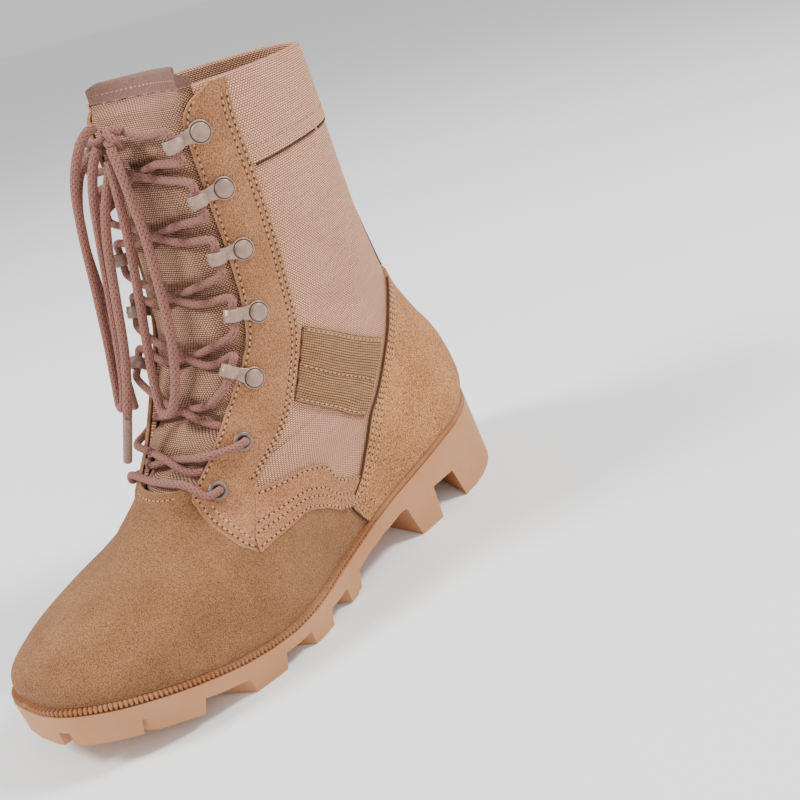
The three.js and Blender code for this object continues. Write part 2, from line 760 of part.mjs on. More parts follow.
// ---- laces --------------------------------------------------------------------------------------
const LACE = 4.5;
const LACE_CLEAR = LACE / 2 + 0.7;
const CROSS_LIFT = 3.4; // between the two strands where they cross
const TUBE_SIDES = 8;
const CROSS_STEPS = 9;

function tube(points, steps, diameter = LACE) {
  const shape = new THREE.Shape(
    Array.from({ length: TUBE_SIDES }, (_, i) => {
      const angle = (2 * Math.PI * (i + 0.5)) / TUBE_SIDES;
      return new THREE.Vector2(Math.cos(angle), Math.sin(angle)).multiplyScalar(diameter / 2);
    }),
  );
  const extrudePath = new THREE.CatmullRomCurve3(points, false, "centripetal");
  return new THREE.ExtrudeGeometry(shape, { steps, extrudePath, bevelEnabled: false });
}

// A point over the tongue, with room for the lace and lift more.
function overTongue(v, arc, lift = 0) {
  const point = tonguePoint(v, arc);
  const out = tonguePoint(v, arc, 1).sub(point).normalize();
  return point.addScaledVector(out, LACE_CLEAR + lift);
}

const HOOK_EXIT = HOOK.width / 2 + 0.8;

// One strand from the loop of a hook up to the loop of the next hook on the other side.
function hookStrand(lower, upper, side, lift) {
  const from = hookFrame(lower, side);
  const to = hookFrame(upper, -side);
  const middle = (lower.v + upper.v) / 2;
  return tube(
    [
      from.loop.clone().addScaledVector(from.up, HOOK_EXIT),
      from.loop.clone().addScaledVector(from.up, HOOK_EXIT + 3.5),
      overTongue(lower.v + (middle - lower.v) * 0.75, side * 15, 2),
      overTongue(middle, 0, lift),
      overTongue(upper.v - (upper.v - middle) * 0.75, -side * 15, 2),
      to.loop.clone().addScaledVector(to.up, -HOOK_EXIT - 3.5),
      to.loop.clone().addScaledVector(to.up, -HOOK_EXIT),
    ],
    CROSS_STEPS,
  );
}

function crossed(strand) {
  return toGeometry(joined([strand(1, CROSS_LIFT), strand(-1, 0)]));
}

// A point over the facing, with room for the lace.
function overFacing(v, arc, side, lift = 0) {
  const { place, out } = facingFrame(v, arc, side);
  return place.addScaledVector(out, LACE_CLEAR + lift);
}

const EYELET_LIFT = EYELET.height + 0.4;
const FACING_TURN = 7; // the lace meets the facing this far before an eyelet

function eyeletEnd({ v, arc }, side) {
  return [overFacing(v, arc - FACING_TURN, side, 0.6), overFacing(v, arc, side, EYELET_LIFT)];
}

// The lowest bar, straight across between the two front eyelets.
function makeBar() {
  const half = (side) => [...eyeletEnd(EYELETS[0], side).reverse(), overTongue(0.475, side * 19, 6)];
  return tube([...half(1), overTongue(0.482, 0, 3.5), ...half(-1).reverse()], 14);
}

// From under one facing over to the second eyelet of the other side.
function eyeletStrand(side, lift) {
  const points = [overTongue(0.492, side * 20), overTongue(0.499, side * 11, 0.4), overTongue(0.51, 0, lift)];
  points.push(overTongue(0.513, -side * 14, 3), overTongue(0.512, -side * 23, 7));
  points.push(...eyeletEnd(EYELETS[1], -side));
  return tube(points, CROSS_STEPS);
}

// From under the facing at the second eyelet up to the first hook of the other side.
function firstHookStrand(side, lift) {
  const to = hookFrame(HOOKS[0], -side);
  return tube(
    [
      overTongue(0.55, side * 25),
      overTongue(0.558, side * 14, 0.4),
      overTongue(0.57, 0, lift),
      overTongue(0.578, -side * 17, 2.5),
      to.loop.clone().addScaledVector(to.up, -HOOK_EXIT - 3),
      to.loop.clone().addScaledVector(to.up, -HOOK_EXIT),
    ],
    CROSS_STEPS,
  );
}

// The bow: knot, loops and ends as [x, s, z] along each cord. It hangs down the front of the lacing.
const KNOT = { x: 0, s: 165, z: 239, half: [6.5, 5, 6] };
const BOW = {
  loop_outer: [
    [4.5, 171.6, 236], [8, 173, 223], [12, 175, 200], [14, 178, 175], [14.5, 182, 150], [12.5, 187, 130],
    [7.5, 190, 119.5], [1, 190, 119], [-3, 187, 128], [-4, 182.5, 148], [-2.5, 178.5, 172], [0, 175.5, 197],
    [1, 173.5, 218], [0, 171.6, 231],
  ],
  loop_inner: [
    [-5, 171.4, 237], [-9, 174, 230], [-14, 176, 217], [-18, 178, 197], [-21, 181, 173], [-22.5, 185, 150],
    [-24, 189, 131], [-28, 191, 119.5], [-33, 189.5, 119], [-35.5, 186, 129], [-35.5, 182, 150],
    [-33.5, 179.5, 174], [-29, 178.5, 200], [-23, 177.5, 222], [-14.5, 175.5, 236.5], [-7, 173, 244],
    [-4, 170, 246],
  ],
  end_outer: [
    [-3, 166.5, 232.3], [-4.5, 171, 224.5], [-7.5, 177, 210], [-9, 180.5, 197], [-10, 185, 175],
    [-11, 190, 150],
    [-12.5, 194.5, 133], [-15, 198.5, 119],
  ],
  end_inner: [
    [-7.2, 167, 235.5], [-14, 169, 233.5], [-24, 171, 228], [-33, 172.5, 214], [-39, 173, 195],
    [-41, 173, 172],
    [-42, 174, 150], [-42.5, 175, 132],
  ],
};
const AGLET = { length: 22, diameter: 4.4 };
const BOW_STEPS = { loop: 24, end: 12 };

function bowPoints(name) {
  return BOW[name].map(([x, s, z]) => new THREE.Vector3(x, yOf(s), z));
}

function makeKnot() {
  return new THREE.SphereGeometry(1, 12, 8).scale(...KNOT.half);
}

// From the top hook to the side of the knot.
function topStrand(side) {
  const { loop, up } = hookFrame(HOOKS[HOOKS.length - 1], side);
  const knot = new THREE.Vector3(KNOT.x + side * (KNOT.half[0] + GAP), yOf(KNOT.s - 3), KNOT.z + 1.5);
  const start = loop.clone().addScaledVector(up, HOOK_EXIT);
  const turn = start.clone().addScaledVector(up, 2.2);
  turn.x -= side * 1.5;
  return tube([start, turn, start.clone().lerp(knot, 0.5).add(new THREE.Vector3(0, 0, -0.5)), knot], 6);
}

function makeAglet() {
  return new THREE.CylinderGeometry(AGLET.diameter / 2, AGLET.diameter / 2 - 0.2, AGLET.length, 10);
}

// ---- assembly -----------------------------------------------------------------------------------
const SUEDE = new THREE.MeshStandardMaterial({ color: 0xa98a6b, roughness: 0.95, metalness: 0 });
const RUBBER = new THREE.MeshStandardMaterial({ color: 0xb9987d, roughness: 0.7, metalness: 0 });
const CANVAS = new THREE.MeshStandardMaterial({ color: 0xa98d7c, roughness: 0.9, metalness: 0 });
const METAL = new THREE.MeshStandardMaterial({ color: 0x9c8f82, roughness: 0.45, metalness: 0.3 });
const WEB = new THREE.MeshStandardMaterial({ color: 0x8d7a5c, roughness: 0.9, metalness: 0 });
const CORD = new THREE.MeshStandardMaterial({ color: 0x9a7568, roughness: 0.9, metalness: 0 });

const boot = new THREE.Group();
boot.position.x = FOOT_AXIS;

function add(name, geometry, material) {
  const mesh = new THREE.Mesh(geometry, material);
  mesh.name = name;
  boot.add(mesh);
  return mesh;
}

// The same with the mesh's own X and Z turned to two directions.
function addTurned(name, geometry, material, place, x, z) {
  const mesh = add(name, geometry, material);
  const y = new THREE.Vector3().crossVectors(z, x);
  mesh.position.copy(place);
  mesh.quaternion.setFromRotationMatrix(new THREE.Matrix4().makeBasis(x, y, z));
}

add("outsole", makeOutsole(), RUBBER);
add("welt", makeWelt(), RUBBER);
add("insole", makeInsole(), CANVAS);
add("upper", makeUpper(), CANVAS);
add("tongue", makeTonguePiece(TONGUE[0].v, TONGUE_TRIM_V, 0, 10, 16), CANVAS);
add("tongue_trim", makeTonguePiece(TONGUE_TRIM_V + 0.0015, TONGUE[TONGUE.length - 1].v, 0.5, 10, 2), SUEDE);
for (const [name, side] of Object.entries(SIDES)) {
  add("facing_" + name, makeFacing(side), SUEDE);
  EYELETS.forEach((eyelet, i) => {
    const { place, out, inward } = facingFrame(eyelet.v, eyelet.arc, side);
    addTurned(`eyelet_${name}_${i + 1}`, makeEyelet(), METAL, place, inward, out);
  });
  HOOKS.forEach((hook, i) => {
    const { seat, along, out } = hookFrame(hook, side);
    addTurned(`hook_${name}_${i + 1}`, makeHook(), METAL, seat, along, out);
  });
}
add("heel_counter", makeCounter(), SUEDE);
add("backstay", makeBackstay(), WEB);
for (const [name, side] of Object.entries(SIDES)) {
  add("saddle_" + name, makeSaddle(side), SUEDE);
  add("ankle_band_" + name, makeAnkleBand(side), WEB);
  add("lace_top_" + name, topStrand(side), CORD);
}
add("lace_bar", makeBar(), CORD);
add("lace_cross_1", crossed(eyeletStrand), CORD);
add("lace_cross_2", crossed(firstHookStrand), CORD);
for (let i = 0; i + 1 < HOOKS.length; i += 1) {
  const strand = (side, lift) => hookStrand(HOOKS[i], HOOKS[i + 1], side, lift);
  add(`lace_cross_${i + 3}`, crossed(strand), CORD);
}
add("lace_knot", makeKnot(), CORD).position.set(KNOT.x, yOf(KNOT.s), KNOT.z);
for (const name of Object.keys(BOW)) {
  const points = bowPoints(name);
  add("lace_" + name, tube(points, name.startsWith("loop") ? BOW_STEPS.loop : BOW_STEPS.end), CORD);
  if (name.startsWith("loop")) continue;
  const last = points[points.length - 1];
  const along = last.clone().sub(points[points.length - 2]).normalize();
  const aglet = add(name.replace("end", "aglet"), makeAglet(), CORD);
  aglet.position.copy(last).addScaledVector(along, AGLET.length / 2 + GAP);
  aglet.quaternion.setFromUnitVectors(new THREE.Vector3(0, -1, 0), along);
}

export default boot;
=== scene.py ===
"""A left lace-up combat boot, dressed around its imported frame.

Sizes are millimetres, and a place along the foot is s, measured forward from the back of the heel, until
the last step of each mesh turns them into the frame's metres. The toe points to -Y and the outer side of
the foot to +X.
"""

import logging
import math
from dataclasses import dataclass, field
from enum import Enum
from typing import Callable, Optional, Sequence

import bmesh
import bpy
import numpy as np
from mathutils import Matrix, Vector


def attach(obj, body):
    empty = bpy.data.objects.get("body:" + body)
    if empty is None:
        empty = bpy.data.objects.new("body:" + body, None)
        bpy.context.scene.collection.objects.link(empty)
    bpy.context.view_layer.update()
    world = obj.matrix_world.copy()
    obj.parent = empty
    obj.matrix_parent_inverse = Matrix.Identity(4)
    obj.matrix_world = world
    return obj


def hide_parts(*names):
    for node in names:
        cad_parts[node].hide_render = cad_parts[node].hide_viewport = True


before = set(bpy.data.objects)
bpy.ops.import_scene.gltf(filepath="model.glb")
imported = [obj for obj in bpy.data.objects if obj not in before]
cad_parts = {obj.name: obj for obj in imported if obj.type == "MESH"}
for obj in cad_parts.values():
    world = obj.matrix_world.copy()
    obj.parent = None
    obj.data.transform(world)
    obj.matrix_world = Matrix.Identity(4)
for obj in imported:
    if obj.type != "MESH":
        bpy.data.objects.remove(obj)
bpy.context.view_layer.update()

log = logging.getLogger("boot")

BMesh = bmesh.types.BMesh
Node = bpy.types.Node
Piece = bpy.types.Object
Socket = bpy.types.NodeSocket

Array = np.ndarray
Colour = tuple[float, float, float]
Skin = tuple[Array, Array]  # points in millimetres and the directions out of the surface there
Shape = Callable[[Array, Array], Skin]

MM = 0.001
ROOT = "root"


class Side(Enum):
    """The two sides of the foot, as the sign of X."""

    OUTER = 1
    INNER = -1

    @property
    def word(self) -> str:
        """The side's name as pieces use it."""
        return self.name.lower()


# ---- curves ---------------------------------------------------------------------------------------


def curve(knots: Sequence[float], values: Array, at: Array) -> Array:
    """Reads a smooth curve that never overshoots its knots.

    Args:
        knots: Rising places of the knots.
        values: Value at each knot, or one column of them for each place in at.
        at: Places to read, held within the knots.

    Returns:
        The curve's value at each place.
    """
    x, y = np.asarray(knots, float), np.asarray(values, float)
    at = np.clip(np.asarray(at, float), x[0], x[-1])
    run = np.diff(x).reshape(-1, *[1] * (y.ndim - 1))
    slope = np.diff(y, axis=0) / run
    product, total = slope[:-1] * slope[1:], slope[:-1] + slope[1:]
    middle = np.where(product > 0, 2 * product / np.where(total == 0, 1, total), 0)
    tangent = np.concatenate([slope[:1], middle, slope[-1:]])
    i = np.clip(np.searchsorted(x, at, side="left") - 1, 0, len(x) - 2)
    column = np.arange(y.shape[1]) if y.ndim > 1 else None
    pick = (lambda a, k: a[k]) if column is None else (lambda a, k: a[k, column])
    step = x[i + 1] - x[i]
    u = (at - x[i]) / step
    ends = pick(y, i) * (1 + 2 * u) * (1 - u) ** 2 + pick(y, i + 1) * u * u * (3 - 2 * u)
    return ends + step * u * (1 - u) * (pick(tangent, i) * (1 - u) - pick(tangent, i + 1) * u)


def unit(vectors: Array) -> Array:
    """Rows of vectors, each made one long."""
    return vectors / np.maximum(np.linalg.norm(vectors, axis=-1, keepdims=True), 1e-9)


def smooth(value: Array) -> Array:
    """An eased step from 0 to 1 as value passes from 0 to 1."""
    held = np.clip(value, 0, 1)
    return held * held * (3 - 2 * held)


def bump(distance: Array, width: float) -> Array:
    """A soft ridge, 1 where distance is 0 and gone by about two widths."""
    return np.exp(-((distance / width) ** 2))


def spline(points: Sequence[Sequence[float]], spacing: float) -> Array:
    """Runs a smooth line through a few points.

    Args:
        points: The points to pass through.
        spacing: Distance between the points given back.

    Returns:
        Evenly spaced points along the line.
    """
    p = np.asarray(points, float)
    p = np.vstack([2 * p[0] - p[1], p, 2 * p[-1] - p[-2]])
    dense = [p[1][None]]
    for i in range(1, len(p) - 2):
        quad = p[i - 1 : i + 3]
        t = np.concatenate([[0], np.cumsum(np.linalg.norm(np.diff(quad, axis=0), axis=1) ** 0.5)])
        at = np.linspace(t[1], t[2], 25)[1:, None]
        line = [((t[k + 1] - at) * quad[k] + (at - t[k]) * quad[k + 1]) / (t[k + 1] - t[k]) for k in range(3)]
        bend = [((t[k + 2] - at) * line[k] + (at - t[k]) * line[k + 1]) / (t[k + 2] - t[k]) for k in range(2)]
        dense.append(((t[2] - at) * bend[0] + (at - t[1]) * bend[1]) / (t[2] - t[1]))
    return resample(np.vstack(dense), spacing)


def run_of(line: Array) -> Array:
    """Distance along a line to each of its points."""
    steps = np.linalg.norm(np.diff(line, axis=0), axis=1)
    return np.concatenate([[0.0], steps.cumsum()])


def resample(line: Array, spacing: float) -> Array:
    """Points about spacing apart along a line, its two ends among them."""
    length = run_of(line[:, :3])
    at = np.linspace(0, length[-1], max(2, int(round(length[-1] / spacing)) + 1))
    return np.stack([np.interp(at, length, line[:, k]) for k in range(line.shape[1])], axis=1)


# ---- the boot's own form --------------------------------------------------------------------------


class Table:
    """Rows of sizes under named columns, read as smooth curves along the first column."""

    def __init__(self, names: Sequence[str], rows: Sequence[Sequence[float]]) -> None:
        """Keeps the rows, whose first column rises."""
        self.names = list(names)
        self.rows = np.asarray(rows, float)

    def read(self, name: str, at: Array) -> Array:
        """The named column's curve at places along the first column."""
        return curve(self.rows[:, 0], self.rows[:, self.names.index(name)], at)

    @property
    def first(self) -> float:
        """Where the first column begins."""
        return float(self.rows[0, 0])

    @property
    def last(self) -> float:
        """Where the first column ends."""
        return float(self.rows[-1, 0])


@dataclass(frozen=True)
class Sizes:
    """Driving sizes that the boot's parts share: millimetres, and levels from 0 to 1."""

    sole_length: float = 300.0  # from the back of the sole to its toe
    origin_s: float = 147.0  # where the frame's origin lies along the foot
    foot_axis: float = -2.7  # x of the foot's own centre line
    gap: float = 0.3  # between neighbouring pieces
    ledge: float = 3.5  # from the sole's edge in to the upper
    wall: float = 2.2  # thickness of the canvas wall
    seat: float = 0.75  # from the wall's skin to a facing
    overlay: float = 1.6  # thickness of a suede overlay
    welt_height: float = 2.6
    welt_width: float = 7.2
    insole: float = 4.0  # thickness
    throat_v: float = 0.458  # level of the foot of the lacing
    corner_v: float = 0.93  # level where a facing's top corner begins to turn back
    toe_swing: float = -5.0  # how far the toe's tip lies to the inner side
    sole_round: float = 0.7  # power that rounds the ends of the sole's outline
    feather_fade: float = 0.22  # level up to which the sole's edge bends the upper
    lace: float = 4.5  # diameter
    leg_height: float = 225.0  # rise of the leg for each whole level
    opening: float = 24.0  # least half-width of the tongue's open face
    tuck: float = 10.0  # how far the tongue runs in under each facing


SIZES = Sizes()

# Half-widths of the sole from heel (t = 0) to toe, before its ends are rounded.
SOLE = Table(
    ("t", "lateral", "medial"),
    [
        (0.0, 48, 48), (0.1, 50, 50), (0.2, 46.5, 46), (0.35, 43.8, 36.5), (0.5, 48, 35.5),
        (0.65, 57, 46), (0.8, 59, 54.5), (0.92, 60, 53), (1.0, 56, 49),
    ],
)
# Height of the top of the welt along the foot.
SOLE_TOP = Table(
    ("s", "top"),
    [
        (-4, 44.6), (40, 40.2), (80, 34.6), (98, 32), (120, 28.3), (142, 24.2), (160, 20.8), (174, 18.6),
        (200, 17), (225, 19), (240, 21.9), (255, 25.2), (270, 28.8), (285, 32), (300, 34.8),
    ],
)
# Level lines of the last: front and back points, half-widths at four stations between them, and how
# square each end is. The stations are shares of the way from the back to the front.
STATIONS = (0.1, 0.4, 0.7, 0.93)
LEVELS = Table(
    (
        "v", "front_s", "front_z", "back_s", "back_z", "heel", "waist", "ball", "toe", "in_waist", "in_ball",
        "round", "back_round",
    ),
    [
        (i / 14, *row)
        for i, row in enumerate(
            [
                (290, 34, 5, 43, 46, 41.5, 55, 55, 33.5, 44, 0.7, 0.7),
                (293, 41, 2, 54, 47, 43, 54, 53, 36, 44, 0.72, 0.72),
                (288, 48, 1.5, 65, 45, 44, 52, 48, 38, 42, 0.78, 0.78),
                (277, 54, 3.5, 76, 42, 43.5, 49, 42, 39, 40, 0.84, 0.85),
                (260, 59, 8, 87, 38, 42, 46.5, 37, 39, 38, 0.88, 0.92),
                (241, 65, 14.5, 97, 36, 40, 44.5, 35, 38.5, 38, 0.88, 1),
                (220, 76.5, 21.5, 108, 35, 38, 43, 36.5, 38, 39, 0.86, 1),
                (203, 93, 28.5, 120, 34.5, 37.5, 42.5, 39, 38, 40.5, 0.8, 1),
                (188.5, 114, 33.5, 135, 34, 37, 42.5, 42, 38.5, 41, 0.74, 1),
                (176.5, 135, 38, 152, 34, 37, 43, 44, 39, 41.5, 0.7, 1),
                (167.5, 157, 42.5, 171, 34.5, 37.5, 43, 45, 39.5, 42, 0.66, 1),
                (162, 180, 46, 192, 35.5, 38, 43.5, 46, 40.5, 43, 0.63, 1),
                (160, 208, 49, 215, 36, 38.5, 44, 47.5, 41.5, 44.5, 0.62, 1),
                (161, 236, 52, 240, 36, 39, 44.5, 48, 42, 46, 0.62, 1),
                (162, 252, 54, 254, 36, 39, 44.5, 48, 42, 46, 0.62, 1),
            ]
        )
    ],
)


class Last:
    """The form that the upper is stretched over, as smooth level lines from the sole to the collar.

    A place on it is v, rising from the edge of the sole to the collar, and an angle round the leg or an
    arc in millimetres along the level line from the front or the back.
    """

    TABLE_LEVELS = 120
    TABLE_ANGLES = 360

    def __init__(self) -> None:
        """Works out how far along each level line every angle lies."""
        levels = np.linspace(0, 1, self.TABLE_LEVELS + 1)
        turn = np.linspace(0, np.pi, self.TABLE_ANGLES + 1)
        self._turn = turn
        self._lengths: dict[tuple[bool, int], Array] = {}
        for back in (False, True):
            for sign in (1, -1):
                start, way = (0.0, sign) if back else (np.pi, -sign)
                v, a = np.meshgrid(levels, start + way * turn, indexing="ij")
                points = self.skin(v.ravel(), a.ravel()).reshape(*v.shape, 3)
                steps = np.linalg.norm(np.diff(points, axis=1), axis=2)
                self._lengths[(back, sign)] = np.pad(steps.cumsum(1), ((0, 0), (1, 0)))

    def outline(self, angle: Array, inset: Array = 0.0) -> Array:
        """Plan points (x, s) of the sole's edge, moved in square to it by inset."""

        def raw(a: Array) -> Array:
            """Plan points of the edge itself."""
            t, side = (1 - np.cos(a)) / 2, np.sin(a)
            width = np.where(side >= 0, SOLE.read("lateral", t), SOLE.read("medial", t))
            swing = SIZES.toe_swing * np.maximum(0, 2 * t - 1) ** 2
            x = swing + np.sign(side) * width * np.abs(side) ** SIZES.sole_round
            return np.stack([x, SIZES.sole_length * t], axis=-1)

        angle = np.asarray(angle, float)
        along = unit(raw(angle + 0.02) - raw(angle - 0.02))
        inward = np.stack([-along[..., 1], along[..., 0]], axis=-1)
        return raw(angle) + inward * np.asarray(inset, float)[..., None]

    def place(self, x: Array, s: Array, z: Array) -> Array:
        """Points of the frame, in millimetres, from x, s and z."""
        x = np.asarray(x) + SIZES.foot_axis
        return np.stack(np.broadcast_arrays(x, SIZES.origin_s - np.asarray(s), z), axis=-1).astype(float)

    def _level(self, v: Array, angle: Array) -> Array:
        """Points of the plain level lines, before the edge of the sole bends them."""
        row = {name: LEVELS.read(name, v) for name in LEVELS.names[1:]}
        t, side = (1 - np.cos(angle)) / 2, np.sin(angle)
        lateral = curve(STATIONS, np.stack([row["heel"], row["waist"], row["ball"], row["toe"]]), t)
        medial = curve(STATIONS, np.stack([row["heel"], row["in_waist"], row["in_ball"], row["toe"]]), t)
        power = row["back_round"] + (row["round"] - row["back_round"]) * t
        width = np.where(side >= 0, lateral, medial) * np.abs(side) ** power
        swing = SIZES.toe_swing * np.maximum(0, 1 - v / SIZES.throat_v) * np.maximum(0, 2 * t - 1) ** 2
        s = row["back_s"] + (row["front_s"] - row["back_s"]) * t
        z = row["back_z"] + (row["front_z"] - row["back_z"]) * t
        return self.place(swing + np.sign(side) * width, s, z)

    def skin(self, v: Array, angle: Array) -> Array:
        """Points of the upper's outer skin."""
        v, angle = np.broadcast_arrays(np.asarray(v, float), np.asarray(angle, float))
        edge = self.outline(angle, SIZES.ledge)
        feather = self.place(edge[..., 0], edge[..., 1], SOLE_TOP.read("top", edge[..., 1]) + SIZES.gap)
        fade = np.maximum(0, 1 - v / SIZES.feather_fade) ** 2
        return self._level(v, angle) + (feather - self._level(np.zeros_like(v), angle)) * fade[..., None]

    def form(self, v: Array, angle: Array, out: Array = 0.0) -> Skin:
        """Points held off the skin, and the directions out of it.

        Args:
            v: Levels.
            angle: Angles round the leg.
            out: Distance outward.

        Returns:
            The points and their outward directions, both in the frame's axes.
        """
        v, angle = np.broadcast_arrays(np.asarray(v, float), np.asarray(angle, float))
        up = self.skin(np.minimum(v + 0.004, 1), angle) - self.skin(np.maximum(v - 0.004, 0), angle)
        around = self.skin(v, angle + 0.02) - self.skin(v, angle - 0.02)
        normal = np.cross(up, around)
        normal[..., 2] = np.where((v <= 0) | (v >= 1), 0, normal[..., 2])
        normal = unit(normal)
        return self.skin(v, angle) + normal * np.broadcast_to(out, v.shape)[..., None], normal

    def angle(self, v: Array, arc: Array, back: bool = False) -> Array:
        """Angles that lie arc millimetres from the front or back line of their level, outer side positive."""
        v, arc = (np.asarray(a, float).ravel() for a in np.broadcast_arrays(v, arc))
        found = np.zeros_like(v)
        position = np.clip(v, 0, 1) * self.TABLE_LEVELS
        low = np.minimum(position.astype(int), self.TABLE_LEVELS - 1)
        share = position - low
        for sign in (1, -1):
            lengths = self._lengths[(back, sign)]
            on_side = (arc >= 0) == (sign == 1)
            for k in np.unique(low[on_side]):
                here = on_side & (low == k)
                near, far = (np.interp(np.abs(arc[here]), lengths[j], self._turn) for j in (k, k + 1))
                turn = near + (far - near) * share[here]
                found[here] = sign * turn if back else np.pi - sign * turn
        return found

    def open_angle(self, v: Array, front: Array, u: Array) -> Array:
        """Angles from the outer front edge (u = 0), round the back seam, to the inner front edge (u = 1).

        Args:
            v: Levels.
            front: Arcs from the front line to the edges.
            u: Shares of the way.

        Returns:
            The angles.
        """
        start, stop = self.angle(v, front), self.angle(v, -np.maximum(front, 1e-4)) - 2 * np.pi
        return start * (1 - u) + stop * u

    def at(self, v: Array, arc: Array, out: Array = 0.0, back: bool = False) -> Skin:
        """Points and outward directions at arcs along their levels, held off the skin by out."""
        v, arc = (np.asarray(a, float).ravel() for a in np.broadcast_arrays(v, arc))
        return self.form(v, self.angle(v, arc, back), np.broadcast_to(out, v.shape))


LAST = Last()

# ---- meshes ---------------------------------------------------------------------------------------


def new_object(name: str, builder: BMesh, finishes: Sequence["Finish"]) -> Piece:
    """Turns a finished bmesh into a smooth-shaded object.

    Args:
        name: The piece's name.
        builder: The mesh in metres, freed here.
        finishes: The materials in the order of the faces' material numbers.

    Returns:
        The object.
    """
    mesh = bpy.data.meshes.new(name)
    builder.to_mesh(mesh)
    builder.free()
    mesh.shade_smooth()
    piece = bpy.data.objects.new(name, mesh)
    bpy.context.scene.collection.objects.link(piece)
    for finish in finishes:
        mesh.materials.append(finish.material())
    return piece


def settle(piece: Piece, *nodes: str) -> Piece:
    """Lets a piece ride on the boot and stand for CAD nodes, and reports it."""
    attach(piece, ROOT)
    if nodes:
        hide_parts(*nodes)
    log.info("%s: %d faces", piece.name, len(piece.data.polygons))
    return piece


def grid(
    columns: int, rows: int, shape: Shape, closed: bool = False, girth: Optional[float] = None
) -> BMesh:
    """Bends a flat grid into a skin.

    The mesh carries a UV map, in metres along its columns and rows, and each vertex the distance to the
    nearest border, in millimetres, in the float layer "edge".

    Args:
        columns: Number of cells across.
        rows: Number of cells along.
        shape: Takes (u, w) in 0..1 and gives the points in millimetres and their outward directions.
        closed: True joins the first column to the last, and closes the ends of the tube that makes.
        girth: Width of the UV map in millimetres, where it isn't measured on the mesh.

    Returns:
        The mesh in metres, faces outward.
    """
    builder = bmesh.new()
    bmesh.ops.create_grid(builder, x_segments=columns, y_segments=rows, size=1.0)
    builder.verts.ensure_lookup_table()
    flat = np.array([vert.co[:2] for vert in builder.verts]) * 0.5 + 0.5
    points, outs = shape(flat[:, 0], flat[:, 1])
    column = np.rint(flat[:, 0] * columns).astype(int)
    row = np.rint(flat[:, 1] * rows).astype(int)
    lattice = np.zeros((rows + 1, columns + 1, 3))
    lattice[row, column] = points
    run = np.pad(np.linalg.norm(np.diff(lattice, axis=1), axis=2), ((0, 0), (1, 0))).cumsum(1)
    rise = np.pad(np.linalg.norm(np.diff(lattice, axis=0), axis=2), ((1, 0), (0, 0))).cumsum(0)
    edge = np.minimum(np.minimum(run, run[:, -1:] - run), np.minimum(rise, rise[-1:] - rise))
    across = run - run[:, columns // 2][:, None]
    if girth is not None:
        across = np.tile(np.linspace(0, girth, columns + 1), (rows + 1, 1))
    along = rise[:, columns // 2]
    edge_layer = builder.verts.layers.float.new("edge")
    cloth = builder.loops.layers.uv.new("cloth")
    for i, vert in enumerate(builder.verts):
        vert.co = points[i] * MM
        vert[edge_layer] = edge[row[i], column[i]]
        vert.index = i
    for face in builder.faces:
        for loop in face.loops:
            i = loop.vert.index
            loop[cloth].uv = (across[row[i], column[i]] * MM, along[row[i]] * MM)
    builder.normal_update()
    facing = sum(face.normal.dot(Vector(outs[face.verts[0].index])) for face in builder.faces)
    if facing < 0:
        bmesh.ops.reverse_faces(builder, faces=builder.faces)
    if closed:
        bmesh.ops.remove_doubles(builder, verts=builder.verts, dist=1e-6)
        border = [e for e in builder.edges if e.is_boundary]
        bmesh.ops.holes_fill(builder, edges=border, sides=0)
        bmesh.ops.recalc_face_normals(builder, faces=builder.faces)
    return builder


def thicken(piece: Piece, thickness: float, rounding: float = 0.3) -> None:
    """Gives a skin its thickness inward and rounds its cut edges, in millimetres."""
    solidify = piece.modifiers.new("Thickness", "SOLIDIFY")
    solidify.thickness = thickness * MM
    solidify.offset = -1
    solidify.use_even_offset = False
    round_edges(piece, rounding, 60)


def round_edges(piece: Piece, width: float, angle: float, segments: int = 2) -> None:
    """Rounds edges sharper than angle degrees by width millimetres."""
    bevel = piece.modifiers.new("Rounded edges", "BEVEL")
    bevel.width = width * MM
    bevel.segments = segments
    bevel.limit_method = "ANGLE"
    bevel.angle_limit = math.radians(angle)


def lathe(profile: Sequence[tuple[float, float]], steps: int, stand: Matrix, builder: BMesh) -> None:
    """Spins a profile about its own Z axis and adds it to a mesh.

    Args:
        profile: Points (radius, height) in millimetres, from the axis or a rim outward.
        steps: Number of cells round the axis.
        stand: Where the turned shape stands, in metres.
        builder: The mesh to add to.
    """
    part = bmesh.new()
    verts = [part.verts.new((r * MM, 0, z * MM)) for r, z in profile]
    edges = [part.edges.new(pair) for pair in zip(verts, verts[1:])]
    bmesh.ops.spin(
        part,
        geom=verts + edges,
        cent=(0, 0, 0),
        axis=(0, 0, 1),
        angle=2 * math.pi,
        steps=steps,
        use_merge=True,
    )
    bmesh.ops.remove_doubles(part, verts=part.verts, dist=1e-7)
    bmesh.ops.recalc_face_normals(part, faces=part.faces)
    bmesh.ops.transform(part, matrix=stand, verts=part.verts)
    merge_in(builder, part)


def merge_in(builder: BMesh, part: BMesh) -> None:
    """Adds one bmesh to another and frees it."""
    mesh = bpy.data.meshes.new("part")
    part.to_mesh(mesh)
    part.free()
    builder.from_mesh(mesh)
    bpy.data.meshes.remove(mesh)


def placing(point: Array, x_axis: Array, z_axis: Array) -> Matrix:
    """A placing with its origin at a point in millimetres, X and Z along two directions."""
    x, z = unit(np.asarray(x_axis, float)), unit(np.asarray(z_axis, float))
    y = np.cross(z, x)
    return Matrix([[x[i], y[i], z[i], point[i] * MM] for i in range(3)] + [[0, 0, 0, 1]])


# ---- finishes -------------------------------------------------------------------------------------


